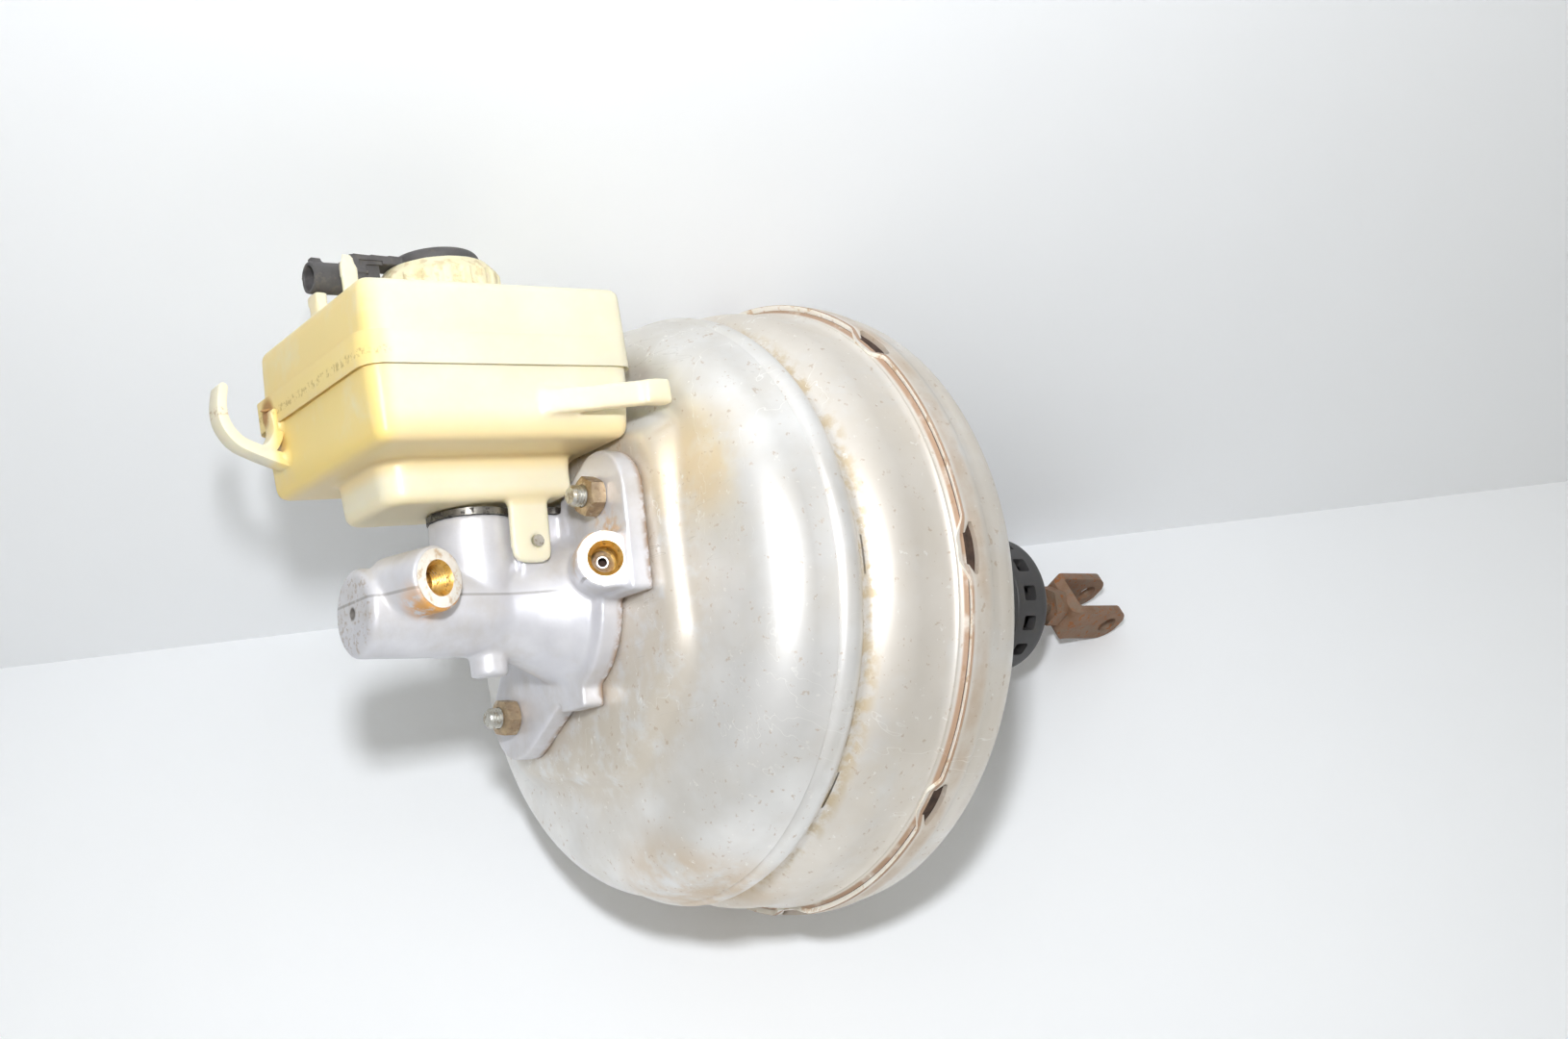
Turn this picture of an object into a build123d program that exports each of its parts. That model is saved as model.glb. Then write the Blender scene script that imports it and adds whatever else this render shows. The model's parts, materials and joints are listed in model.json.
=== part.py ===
from build123d import *
import math
import os

# Tandem vacuum brake booster with its master cylinder and fluid reservoir, in millimetres.
# X runs along the booster's axis towards the brake pedal and Z is up. The origin is the middle
# of the rear face, which bolts to the bulkhead.

os.makedirs("parts", exist_ok=True)

# --- Clearances -------------------------------------------------------------------------------
seat_gap = 0.1       # between pieces that stay together
run_gap = 0.05       # between a shaft and its guide, on the radius
soft_gap = 0.3       # between a soft lip and what slides past it

# --- Vacuum housing ---------------------------------------------------------------------------
crimp_radius = 126.5         # the shells' other radii step down from it
crimp_length = 9.5
sheet = 2.0                  # thickness of both shells
rear_depth = 60.0            # rear face to crimp plane
front_depth = 88.5           # crimp plane to the master cylinder's seat
flange_radius = crimp_radius - 2.5   # outward flange that the rear shell grips
drum_radius = flange_radius - 3.4    # rear drum section of the front shell
drum_shoulder_depth = 19.0
bead_radius = drum_radius - 4.2
bead_depth = 46.5
valley_radius = bead_radius - 3.9
valley_depth = 37.5
valley_width = 3.5
shoulder_radius = bead_radius - 4.4  # end of the large front shoulder
shoulder_depth = 59.0
groove_depth = 52.3          # crimp plane to the fine groove behind the shoulder
dish_depth = 84.0            # crimp plane to the flat of the front dish
dish_flat_radius = 60.0
dish_rim_drop = 7.0          # how far the dish falls back towards its rim
dish_rim_radius = shoulder_radius - 16.5
rear_wall_radius = crimp_radius - 1.7
rear_wall_depth = 19.0       # crimp plane to the start of the rear shoulder
rear_shoulder_depth = 30.2   # and to its end
rear_shoulder_radius = crimp_radius - 14.5
rear_cone_depth = 47.0
rear_cone_radius = 74.0
rear_seat_radius = 60.0      # flat ring that meets the bulkhead
neck_radius = 27.5
neck_length = 40.0
plateau_long = dish_rim_radius - 11.5   # corner of the six-sided seat, along the stud line
plateau_short = 31.0
plateau_half_width = 63.0
plateau_corner = 15.0
plateau_draft = 30.0
stud_line_angle = 136.5      # line through the two master cylinder studs, from +Y
lance_count = 8
lance_width = 14.0
lance_push = 2.5             # how far each lance is pressed in over the flange
lance_reach = 2.4
slit_length = 16.0
slit_width = 1.2
slit_angles = (180.0, 225.0, 0.0, 45.0)

# --- Fasteners (M8) ---------------------------------------------------------------------------
stud_radius = 4.0
nut_across_flats = 13.0
nut_height = 6.8
stud_head_radius = 8.0
stud_head_height = 2.5
front_stud_reach = 52.2      # booster axis to each master cylinder stud
front_stud_tip = 5.0         # thread left past the nut
rear_stud_spacing = 70.0
rear_stud_length = 24.0
stud_collar_radius = 4.4     # plain collar of a rear stud, in the sheet
stud_collar_proud = 0.2

# --- Master cylinder --------------------------------------------------------------------------
body_radius = 16.7
bore_radius = 11.1
nose_length = 90.2           # mounting seat to the closed end
end_wall = 7.0
nose_chamfer = 1.6
hub_radius = 34.0            # round middle of the mounting flange
mount_flange = 9.5           # thickness
lobe_radius = 17.0
neck_root_radius = 28.0
neck_length_front = 17.0     # cone from the flange to the barrel
neck_tip_radius = 20.0
pilot_length = 5.5           # spigot inside the shell
pilot_radius = 30.8
outlet_front_x = 41.5        # mounting seat to the front outlet's axis
outlet_rear_x = 13.1
outlet_front_radius = 15.8
outlet_rear_radius = 10.0
outlet_front_top = 33.6      # height of each outlet socket above the axis
outlet_rear_top = 35.6
socket_depth = 14.0
grommet_lip = 2.6            # lip that stands on top of the outlet
lug_x = 25.5                 # mounting seat to the reservoir pin
lug_height = 23.0
lug_width = 11.0
ear_outer = 20.0             # outer face of each reservoir ear
ear_thickness = 3.6
pin_radius = 2.2
port_radius = 5.5            # wall of each M12 brake line port
port_depth = 14.0
port_seat_radius = 2.0
front_port_x = 70.0          # mounting seat to the port's mouth
front_port_y = -27.5
front_port_z = 7.6
front_port_yaw = 18.0        # turned towards the pedal
front_boss_radius = 11.6
rear_port_x = 16.5
rear_port_y = -50.0
rear_port_z = 10.5
rear_port_yaw = -25.0        # turned away from the pedal
rear_boss_radius = 10.6
block_low = -1.5             # lower edge of the block that backs the rear port
block_out = -55.0
peg_x = 39.0                 # mounting seat to the round peg below the barrel
peg_radius = 7.5
peg_reach = 24.0
toe_reach = 38.5             # toe below the flange
toe_width = 17.0

# --- Pistons ----------------------------------------------------------------------------------
stroke = 24.5
primary_front = -150.0
primary_length = 28.0
primary_socket = 8.0
piston_stop = 3.2            # left between the pistons at full stroke
secondary_gap = stroke / 2 + piston_stop
secondary_length = 34.0
cup_width = 4.0
cup_inner = 8.6
pocket_depth = 11.0
pocket_radius = 6.6
piston_wire = 0.9            # radius
piston_turns = 5

# --- Power piston -----------------------------------------------------------------------------
hub_outer = 23.0
hub_front = -104.0
hub_rear = 62.0
rear_bore_radius = 16.0
rear_bore_depth = 130.0      # open rear bore of the valve body
plunger_radius = 8.0
disc_radius = 17.0
disc_thickness = 6.0
rod_head = 3.0
rod_radius = 6.0
plate_sheet = 1.6
plate_radius = valley_radius - 17.5
front_plate_x = -101.0
rear_plate_x = -32.0
plate_cone = 6.0
plate_flat_radius = 60.0
rear_plate_cone = 12.0
rear_plate_radius = drum_radius - 22.6
plate_skirt = 4.0
membrane = 1.5               # diaphragm thickness
partition_x = -90.0
partition_sheet = 1.4
spring_wire = 1.9            # radius
spring_turns = 4
spring_radius = 31.0

# --- Input side -------------------------------------------------------------------------------
plunger_travel = 1.5
ball_x = -52.0
ball_radius = 6.0
input_rod_radius = 5.0
socket_radius = 9.5
seat_ring_radius = 12.5
poppet_thickness = 4.5
clevis_base_x = 125.0
rod_droop = 0.4              # the rod hangs this many degrees below the axis
clevis_roll = 29.0           # the fork's turn about the rod
fork_plate = 4.2
fork_pitch = 20.6            # middle of one ear to the middle of the other
fork_width = 21.6
fork_length = 39.5
fork_pin_radius = 5.0
fork_pin_x = 30.0            # front of the base to the pin's axis
jam_nut_flats = 17.0
jam_nut_height = 8.0
boot_radius = 31.3
boot_wall = 2.2
boot_start = 32.0
boot_end = 88.0
boot_hole = 13.0
boot_step = 2.0
window_count = 14
window_length = 7.5
window_width = 7.0
window_x = 70.5
filter_length = 14.0
filter_inner = 10.6

# --- Reservoir --------------------------------------------------------------------------------
tilt = 4.2                   # the tank rises towards the pedal
tank_x = -197.0              # middle of the weld seam
seam_z = 84.5
tank_length = 101.5
tank_width = 97.2
tank_shift_x = -3.3          # middle of the tub, from the middle of the seam
tank_shift_y = -3.0
tank_corner = 6.5
tank_wall = 2.5
upper_height = 26.0
upper_step = 1.2             # how far the upper half stands inside the lower one
upper_stretch = 3.2          # and how much further it reaches over the booster
lower_height = 31.5
tank_draft = 3.0
weld_rim = 1.0               # how far the weld flange stands out
weld_half = 1.6
sump_x = 1.5                 # middle of the sump, along the tank
sump_length = 80.0
sump_width = 45.0
sump_depth = 47.2            # seam to the sump's floor
sump_notch_x = 33.4          # corner cut away for the mounting flange
sump_notch_y = -10.5
sump_corner = 9.0
ear_width = 16.0
ear_drop = 8.0               # below the pin
neck_x = 4.0                 # seam middle to the filler neck, along the tank
filler_radius = 18.5
filler_wall = 3.0
filler_top = 39.0            # above the seam
collar_radius = 23.8
collar_low = 29.0
collar_top = 46.1
collar_bevel = 4.0
collar_lip = 2.5
collar_ribs = 20
insert_flange = 3.0
gasket = 1.0
dome_radius = 17.0
dome_height = 5.0
stem_radius = 5.0
stem_bottom = -26.0
stem_foot = 2.0
float_radius = 9.5
float_height = 10.0
connector_radius = 5.8
connector_wall = 1.3
connector_x = -39.2          # middle of the plug, from the seam's middle
connector_length = 15.6
connector_z = 41.6
prong_top = 48.6
terminal = 0.8
terminal_setback = 5.5
hook_width = 9.0
hook_y = 28.0
hook_bar = 2.0               # half thickness of the hook's arms
clip_height = 9.0
clip_out = 13.4              # how far the arm stands out from the near side
clip_rise = 8.0              # above the tank's floor

# --- Vacuum connection ------------------------------------------------------------------------
valve_reach = dish_rim_radius - 7.5   # booster axis to the check valve
valve_angle = 45.0
valve_pad = 15.5
valve_hole = 11.0
valve_body_radius = 9.5
nipple_radius = 4.1
nipple_bore = 2.6
nipple_length = 24.0
nipple_land = 6.0            # plain end ahead of the barbs

crimp_x = -rear_depth
seat_x = crimp_x - front_depth
end_x = seat_x - nose_length
boss_low = 8.0
flange_x = crimp_x + 0.7


def cross(x, y=0.0, z=0.0):
    # Plane across the booster's axis, facing the pedal, with its own x along Y
    return Plane(origin=(x, y, z), x_dir=(0, 1, 0), z_dir=(1, 0, 0))


def rod(x0, x1, radius, y=0.0, z=0.0):
    return extrude(cross(x0, y, z) * Circle(radius), x1 - x0)


def ring(x0, x1, outer, inner, y=0.0, z=0.0):
    return rod(x0, x1, outer, y, z) - rod(x0, x1, inner, y, z)


def turned(points):
    # Closed outline of (x, radius) points, turned about the booster's axis
    return revolve(make_face(Polyline(*points, close=True)), Axis.X)


def hexagon(flats, x0, x1, y=0.0, z=0.0, roll=0.0):
    sketch = cross(x0, y, z) * Rot(0, 0, roll) * RegularPolygon(flats / 2, 6, major_radius=False)
    return extrude(sketch, x1 - x0)


def upright(x, y, z0, z1, radius):
    return extrude(Plane(origin=(x, y, z0)) * Circle(radius), z1 - z0)


def front_studs_at():
    angle = math.radians(stud_line_angle)
    reach = (math.cos(angle) * front_stud_reach, math.sin(angle) * front_stud_reach)
    return [reach, (-reach[0], -reach[1])]


def rear_studs_at():
    half = rear_stud_spacing / 2
    return [(y, z) for y in (-half, half) for z in (-half, half)]


def chain(points, radius):
    # Flat bar with round ends through a few points
    bar = Sketch()
    for start, end in zip(points, points[1:]):
        ends = [Pos(*start) * Circle(radius), Pos(*end) * Circle(radius)]
        bar += make_hull(Sketch(children=ends).edges())
    return bar


# --- Shells -----------------------------------------------------------------------------------

def front_outline(inset=0.0):
    # Half section of the front shell, from the axis to the crimp plane. The lean is the share of
    # the inset that goes backwards; the rest goes towards the axis
    def at(depth, radius, lean):
        return (crimp_x - depth + inset * lean, radius - inset * math.sqrt(1 - lean * lean))

    tail = 1.0 if inset else 0.0
    flat = at(dish_depth, dish_flat_radius, 1.0)
    rim = at(dish_depth - dish_rim_drop, dish_rim_radius, 1.0)
    shoulder = at(shoulder_depth, shoulder_radius, 0.2)
    groove_radius = shoulder_radius + (bead_radius - shoulder_radius) * 0.55
    lip = at(groove_depth - 0.8, groove_radius + 0.6, 0.0)
    valley_start = at(valley_depth + valley_width, valley_radius, 0.0)
    valley_end = at(valley_depth, valley_radius, 0.0)
    step = at(valley_depth - 3.0, valley_radius + 3.0, 0.7)
    drum = at(drum_shoulder_depth, drum_radius, 0.0)
    end = (flange_x + 0.1 + tail, drum_radius + 0.6 - inset)
    edges = [
        Line((flat[0], 0), flat),
        Line(flat, rim),
        ThreePointArc(rim, at(dish_depth - 14.0, shoulder_radius - 5.0, 0.7), shoulder),
    ]
    if inset:
        edges.append(Line(shoulder, lip))
    else:
        before = at(groove_depth + 0.8, groove_radius, 0.0)
        bottom = at(groove_depth, groove_radius - 0.8, 0.0)
        edges += [Line(shoulder, before), Line(before, bottom), Line(bottom, lip)]
    edges += [
        ThreePointArc(lip, at(bead_depth, bead_radius, 0.0), valley_start),
        Line(valley_start, valley_end),
        Line(valley_end, step),
        ThreePointArc(step, at(valley_depth - 8.5, drum_radius - 1.6, 0.4), drum),
        Line(drum, end),
        Line(end, (end[0], 0)),
        Line((end[0], 0), (flat[0], 0)),
    ]
    return make_face(edges)


def plateau(depth_in, shrink=0.0):
    # Raised six-sided seat, its long corners on the stud line
    long, short, half = plateau_long - shrink, plateau_short - shrink / 2, plateau_half_width - shrink
    corners = [(long, 0), (short, half), (-short, half), (-long, 0), (-short, -half), (short, -half)]
    face = make_face(Polyline(*corners, close=True))
    face = fillet(face.vertices(), plateau_corner)
    seat = cross(seat_x + depth_in) * Rot(0, 0, stud_line_angle) * face
    return extrude(seat, front_depth - dish_depth + dish_rim_drop + 1.0, taper=-plateau_draft)


def valve_place():
    angle = math.radians(valve_angle)
    return valve_reach * math.cos(angle), valve_reach * math.sin(angle)


def valve_seat_x():
    # Outer face of the flat pad pressed into the dish for the check valve
    return crimp_x - dish_depth + 2.0


def front_shell():
    valve_y, valve_z = valve_place()
    pad_x = valve_seat_x()
    skin = revolve(front_outline(), Axis.X) + plateau(0)
    skin += extrude(cross(pad_x, valve_y, valve_z) * Circle(valve_pad), 12, taper=-plateau_draft)
    core = revolve(front_outline(sheet), Axis.X) + plateau(sheet, shrink=sheet * 0.6)
    pad = cross(pad_x + sheet, valve_y, valve_z) * Circle(valve_pad - sheet)
    core += extrude(pad, 12, taper=-plateau_draft)
    shell = skin - core
    shell -= rod(seat_x - 1, seat_x + 20, pilot_radius + seat_gap)
    for y, z in front_studs_at():
        shell -= rod(seat_x - 1, seat_x + 20, stud_radius + seat_gap, y, z)
    shell -= rod(pad_x - 1, pad_x + 20, valve_hole, valve_y, valve_z)
    shell += ring(flange_x, flange_x + sheet, flange_radius, drum_radius - sheet)
    groove = Pos(crimp_x - valley_depth - valley_width / 2, 0, valley_radius)
    for angle in slit_angles:
        shell -= Rot(angle + 90, 0, 0) * groove * Box(slit_width, slit_length, 1.6)
    return shell


def rear_outline(inset):
    # Half section of the rear shell: crimp collar, wall, shoulder, cone, seat and neck
    def at(depth, radius):
        return (crimp_x + depth - inset, radius - inset)

    collar = crimp_x - 0.5 if inset == 0 else crimp_x - 5
    wall_start = crimp_length + 3.0
    cone_end = rear_depth - 4.0
    seat = rear_seat_radius
    wall_end = at(rear_wall_depth, rear_wall_radius)
    shoulder = at(rear_shoulder_depth - 3.6, rear_shoulder_radius + 9.0)
    shoulder_end = at(rear_shoulder_depth, rear_shoulder_radius)
    edges = [
        Line((collar, 0), (collar, crimp_radius - inset)),
        Line((collar, crimp_radius - inset), at(crimp_length, crimp_radius)),
        Line(at(crimp_length, crimp_radius), at(wall_start, rear_wall_radius)),
        Line(at(wall_start, rear_wall_radius), wall_end),
        ThreePointArc(wall_end, shoulder, shoulder_end),
        Line(shoulder_end, at(rear_cone_depth, rear_cone_radius)),
        Line(at(rear_cone_depth, rear_cone_radius), at(cone_end, seat + 3.0)),
        Line(at(cone_end, seat + 3.0), at(rear_depth, seat)),
        Line(at(rear_depth, seat), (-inset, 0)),
        Line((-inset, 0), (collar, 0)),
    ]
    return make_face(edges)


def lance_tab():
    # One lance: the strip of collar edge pressed inwards and ahead of the flange
    half = lance_width / 2
    root = half + 2.5
    foot = half * 0.45
    outer = crimp_radius - 0.3
    deep = outer - lance_push
    wall = 1.8
    strip = Polyline(
        (-root, outer - 0.3), (-foot, deep), (foot, deep), (root, outer - 0.3),
        (root, outer - wall - 0.3), (foot, deep - wall), (-foot, deep - wall), (-root, outer - wall - 0.3),
        close=True,
    )
    return extrude(cross(crimp_x - lance_reach) * make_face(strip), lance_reach + 0.5)


def rear_shell():
    shell = revolve(rear_outline(0), Axis.X)
    shell += rod(-1, neck_length, neck_radius)
    shell -= revolve(rear_outline(sheet), Axis.X)
    shell -= rod(-rear_depth, neck_length + 1, neck_radius - sheet)
    tab = lance_tab()
    slot = Pos(crimp_x + 2.0, 0, crimp_radius) * Box(6.0, lance_width, 8)
    for index in range(lance_count):
        turn = Rot(index * 360 / lance_count, 0, 0)
        shell -= turn * slot
        shell += turn * tab
    for y, z in rear_studs_at():
        shell -= rod(-10, 1, stud_collar_radius + seat_gap, y, z)
    return shell


def partition():
    # Plate between the two vacuum chambers, its skirt along the drum wall
    rim = drum_radius - sheet - seat_gap
    x = partition_x
    t = partition_sheet
    lip = hub_outer + 4.6
    bend = crimp_x - drum_shoulder_depth - 1.0
    return turned([
        (x, lip), (x, rim - 14), (bend, rim), (flange_x, rim), (flange_x, rim - t), (bend + t, rim - t),
        (x + t, rim - 14 - t), (x + t, lip),
    ])


def partition_seal():
    inner = hub_outer + soft_gap
    hold = hub_outer + 4.5
    return ring(partition_x - 2, partition_x + partition_sheet + 3, hold, inner)


def neck_seal():
    return ring(neck_length - 12, neck_length - 2, neck_radius - sheet - seat_gap, hub_outer + soft_gap)


def diaphragm(edge, inner, fold, anchor, wall):
    # Rolling skirt: from the plate's rim back to the fold and forward along the wall to its bead
    t = membrane
    return turned([
        (edge, inner), (fold - t, inner), (fold - t, wall - t), (anchor + 3, wall - t),
        (anchor + 3, wall - 2 * t), (anchor, wall - 2 * t), (anchor, wall), (fold, wall),
        (fold, inner - t), (edge, inner - t),
    ])


def front_diaphragm():
    wall = valley_radius - sheet - seat_gap
    rim = front_plate_x + plate_cone
    return diaphragm(rim - 1.0, plate_radius + 2.5, rim + 4.0, crimp_x - valley_depth - valley_width, wall)


def rear_diaphragm():
    wall = drum_radius - sheet - partition_sheet - 2 * seat_gap
    rim = rear_plate_x - rear_plate_cone
    return diaphragm(rim - 3.0, rear_plate_radius + 2.5, rim + 5.0, crimp_x - 4.0, wall)


def rear_studs():
    studs = []
    for y, z in rear_studs_at():
        stud = rod(-sheet - seat_gap, stud_collar_proud, stud_collar_radius, y, z)
        stud += rod(stud_collar_proud, rear_stud_length, stud_radius, y, z)
        stud += rod(-sheet - seat_gap - stud_head_height, -sheet - seat_gap, stud_head_radius, y, z)
        studs.append(chamfer(stud.faces().sort_by(Axis.X)[-1].edges(), 0.8))
    return studs


def front_studs():
    nut_face = seat_x - mount_flange
    tip = nut_face - nut_height - front_stud_tip
    studs = []
    for y, z in front_studs_at():
        stud = rod(tip, seat_x + sheet + seat_gap, stud_radius, y, z)
        head_x = seat_x + sheet + seat_gap
        stud += rod(head_x, head_x + stud_head_height, stud_head_radius, y, z)
        studs.append(chamfer(stud.faces().sort_by(Axis.X)[0].edges(), 0.8))
    return studs


def mounting_nuts():
    nuts = []
    for index, (y, z) in enumerate(front_studs_at()):
        nut_face = seat_x - mount_flange - seat_gap
        roll = (0.0, 18.0)[index]
        nut = hexagon(nut_across_flats, nut_face - nut_height, nut_face, y, z, roll)
        cone = extrude(cross(nut_face, y, z) * Circle(nut_across_flats * 0.76), -nut_height, taper=12)
        nut = nut & cone
        nuts.append(nut - rod(nut_face - nut_height - 1, nut_face + 1, stud_radius + seat_gap, y, z))
    return nuts


# --- Master cylinder --------------------------------------------------------------------------

def port_plane(x, y, z, yaw):
    # Plane on a port's mouth, its normal pointing out of the hole
    turn = math.radians(yaw)
    return Plane(origin=(seat_x - x, y, z), x_dir=(math.cos(turn), math.sin(turn), 0),
                 z_dir=(math.sin(turn), -math.cos(turn), 0))


def front_port():
    return port_plane(front_port_x, front_port_y, front_port_z, front_port_yaw)


def rear_port():
    return port_plane(rear_port_x, rear_port_y, rear_port_z, rear_port_yaw)


def mount_flange_blank():
    # Round hub with a lobe round each stud, the backing corner of the rear port and a lower toe
    front = seat_x - mount_flange
    outline = Circle(hub_radius)
    for y, z in front_studs_at():
        lobe = Pos(y, z) * Circle(lobe_radius)
        outline += make_hull(Sketch(children=[Circle(hub_radius * 0.86), lobe]).edges())
    corner_top = front_studs_at()[0][1]
    corner = Pos(block_out / 2, (corner_top + block_low) / 2) * Rectangle(-block_out, corner_top - block_low)
    outline += corner
    outline += Pos(-toe_width * 0.38, -toe_reach / 2) * Rectangle(toe_width, toe_reach)
    return extrude(cross(front) * outline, mount_flange)


def barrel():
    front = seat_x - mount_flange
    cone_end = front - neck_length_front
    return turned([
        (end_x, 0), (end_x, body_radius - 2 * nose_chamfer), (end_x + nose_chamfer, body_radius - 0.8),
        (cone_end - 10, body_radius), (cone_end, neck_tip_radius), (front, neck_root_radius),
        (seat_x, neck_root_radius), (seat_x, pilot_radius), (seat_x + pilot_length, pilot_radius),
        (seat_x + pilot_length, 0),
    ])


def rear_port_boss():
    # Round boss with one square corner, run back from the mouth into the neck
    plane = rear_port()
    radius = rear_boss_radius
    outline = Circle(radius) + Pos(radius / 2, -radius / 2) * Rectangle(radius, radius)
    boss = extrude(plane * outline, -38)
    keep = Pos(seat_x - 40, 0, 0) * Box(80, 160, 160)
    return boss & keep


def drill_port(body, plane, cross_hole):
    # Threaded mouth with its countersink, flare seat and passage
    body -= extrude(plane * Circle(port_radius), -port_depth)
    body -= extrude(plane * Circle(port_radius + 0.9), -0.9, taper=45)
    body -= extrude(plane * Circle(port_seat_radius), -cross_hole)
    return body


def master_cylinder():
    body = barrel() + mount_flange_blank()
    for x, top, radius, wall in outlets():
        body += upright(x, 0, 0, top, radius)
    lug_half = ear_outer - ear_thickness - soft_gap
    lug_top = lug_height + 5.5
    body += Pos(seat_x - lug_x, 0, lug_top / 2) * Box(lug_width, 2 * lug_half, lug_top)
    body += extrude(front_port() * Circle(front_boss_radius), -24)
    body += rear_port_boss()
    peg = Plane(origin=(seat_x - peg_x, 0, -boss_low), z_dir=(0, 0, -1)) * Circle(peg_radius)
    body += extrude(peg, peg_reach - boss_low, taper=3)
    body -= rod(end_x + end_wall, seat_x + pilot_length + 1, bore_radius)
    for x, top, radius, wall in outlets():
        body -= upright(x, 0, top - socket_depth, top + 1, radius - wall)
        body -= upright(x, 0, bore_radius - 2, top, 1.5)
    rear_x, rear_top, rear_radius = seat_x - outlet_rear_x, outlet_rear_top, outlet_rear_radius
    body -= upright(rear_x, 0, rear_top, rear_top + 20, rear_radius + 1.5)
    body = drill_port(body, front_port(), 21)
    body = drill_port(body, rear_port(), 42)
    for y, z in front_studs_at():
        body -= rod(seat_x - mount_flange - 20, seat_x + 1, stud_radius + seat_gap, y, z)
        body -= rod(seat_x - mount_flange - 12, seat_x - mount_flange, nut_across_flats * 0.66, y, z)
    pin_hole = Plane(origin=(seat_x - lug_x, 0, lug_height), z_dir=(0, 1, 0)) * Circle(pin_radius + seat_gap)
    body -= extrude(pin_hole, ear_outer, both=True)
    body -= ring(seat_x + 1.8, seat_x + 4.2, pilot_radius + 1, pilot_radius - 1.8)
    return body


def pilot_ring():
    # Rubber ring in the pilot's groove
    return ring(seat_x + 1.9, seat_x + 4.1, pilot_radius - 0.1, pilot_radius - 1.7)


def spigot_radius(radius, wall):
    return radius - wall - 2.4


def outlet_grommets():
    # Rubber sleeve with a lip, one for each outlet
    sleeves = []
    for x, top, radius, wall in outlets():
        low = top - socket_depth + 1.0
        lip = upright(x, 0, top, top + grommet_lip, radius + 0.5)
        sleeve = upright(x, 0, low, top, radius - wall - seat_gap)
        bore = spigot_radius(radius, wall) + seat_gap
        sleeves.append(lip + sleeve - upright(x, 0, low - 1, top + grommet_lip + 1, bore))
    return sleeves


def front_grommet():
    return outlet_grommets()[0]


def rear_grommet():
    return outlet_grommets()[1]


def reservoir_pin():
    line = Plane(origin=(seat_x - lug_x, 0, lug_height), z_dir=(0, 1, 0)) * Circle(pin_radius)
    return extrude(line, ear_outer + 0.8, both=True)


def piston(front, length):
    # Solid piston with two seal grooves and a spring pocket in its nose
    body = rod(front, front + length, bore_radius - run_gap)
    for x in cup_places(front):
        body -= ring(x, x + cup_width, bore_radius + 1, cup_inner)
    return body - rod(front - 1, front + pocket_depth, pocket_radius)


def primary_piston():
    back = primary_front + primary_length
    return piston(primary_front, primary_length) - rod(back - primary_socket, back + 1, rod_radius + soft_gap)


def secondary_front():
    return primary_front - secondary_gap - secondary_length


def secondary_piston():
    return piston(secondary_front(), secondary_length)


def piston_spring(start, end):
    reach = pocket_radius - soft_gap - piston_wire
    return coil(start + piston_wire + seat_gap, end - piston_wire - seat_gap, reach, piston_wire, piston_turns)


def primary_spring():
    return piston_spring(secondary_front() + secondary_length, primary_front + pocket_depth)


def secondary_spring():
    return piston_spring(end_x + end_wall, secondary_front() + pocket_depth)


def cup_places(front):
    return (front + 3.0, front + 13.0)


def piston_cups(front):
    inner = cup_inner + seat_gap
    outer, width = bore_radius - soft_gap, cup_width - 2 * seat_gap
    return [ring(x + seat_gap, x + seat_gap + width, outer, inner) for x in cup_places(front)]


def primary_cups():
    return piston_cups(primary_front)


def secondary_cups():
    return piston_cups(secondary_front())


# --- Power piston -----------------------------------------------------------------------------

def disc_back():
    return hub_front + rod_head + disc_thickness


def valve_body():
    body = rod(hub_front, hub_rear, hub_outer)
    body -= rod(hub_front - 1, disc_back(), disc_radius + seat_gap)
    body -= rod(hub_rear - rear_bore_depth, hub_rear + 1, rear_bore_radius)
    body -= rod(disc_back() - 1, hub_rear - rear_bore_depth + 1, plunger_radius + run_gap)
    return body


def piston_plate(x, cone, radius, direction):
    # Pressed plate: flat middle, cone and a short skirt that carries the diaphragm
    t = plate_sheet
    hole = hub_outer + seat_gap
    rim = x + cone
    edge = rim + direction * plate_skirt
    near, far = sorted((rim, edge))
    plate = turned([
        (x, hole), (x, plate_flat_radius), (rim, radius), (rim + t, radius),
        (x + t, plate_flat_radius), (x + t, hole),
    ])
    return plate + ring(near, far + t * 0.5, radius + 0.6, radius - t)


def front_plate():
    return piston_plate(front_plate_x, plate_cone, plate_radius, 1)


def rear_plate():
    return piston_plate(rear_plate_x, -rear_plate_cone, rear_plate_radius, -1)


def output_rod():
    tip = primary_front + primary_length - primary_socket + 0.5
    head_x = hub_front + seat_gap
    stem = rod(tip, head_x + 1, rod_radius)
    stem = fillet(stem.faces().sort_by(Axis.X)[0].edges(), 2.5)
    return stem + rod(head_x, hub_front + rod_head, disc_radius)


def reaction_disc():
    return rod(hub_front + rod_head + seat_gap, disc_back() - seat_gap, disc_radius - seat_gap)


def coil(start, end, radius, wire, turns):
    path = Helix(pitch=(end - start) / turns, height=end - start, radius=radius)
    section = Plane(origin=path @ 0, z_dir=path % 0) * Circle(wire)
    return Pos(start, 0, 0) * Rot(0, 90, 0) * sweep(section, path=path, is_frenet=True)


def return_spring():
    # Compression spring between the front shell and the front plate
    start = crimp_x - dish_depth + sheet + spring_wire + 0.4
    return coil(start, front_plate_x - spring_wire - 0.4, spring_radius, spring_wire, spring_turns)


def plunger():
    seat_back = hub_rear - rear_bore_depth + 6.0
    nose = disc_back() + plunger_travel + 0.3
    body = rod(nose, seat_back, plunger_radius)
    body += rod(hub_rear - rear_bore_depth + 2.0, seat_back, seat_ring_radius)
    body += rod(seat_back, ball_x + 3.5, socket_radius)
    body -= Pos(ball_x, 0, 0) * Sphere(ball_radius + run_gap)
    mouth = Pos(ball_x + 4.0, 0, 0) * Rot(0, 90, 0) * Cylinder(input_rod_radius + 0.9, 8)
    return body - mouth


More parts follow.
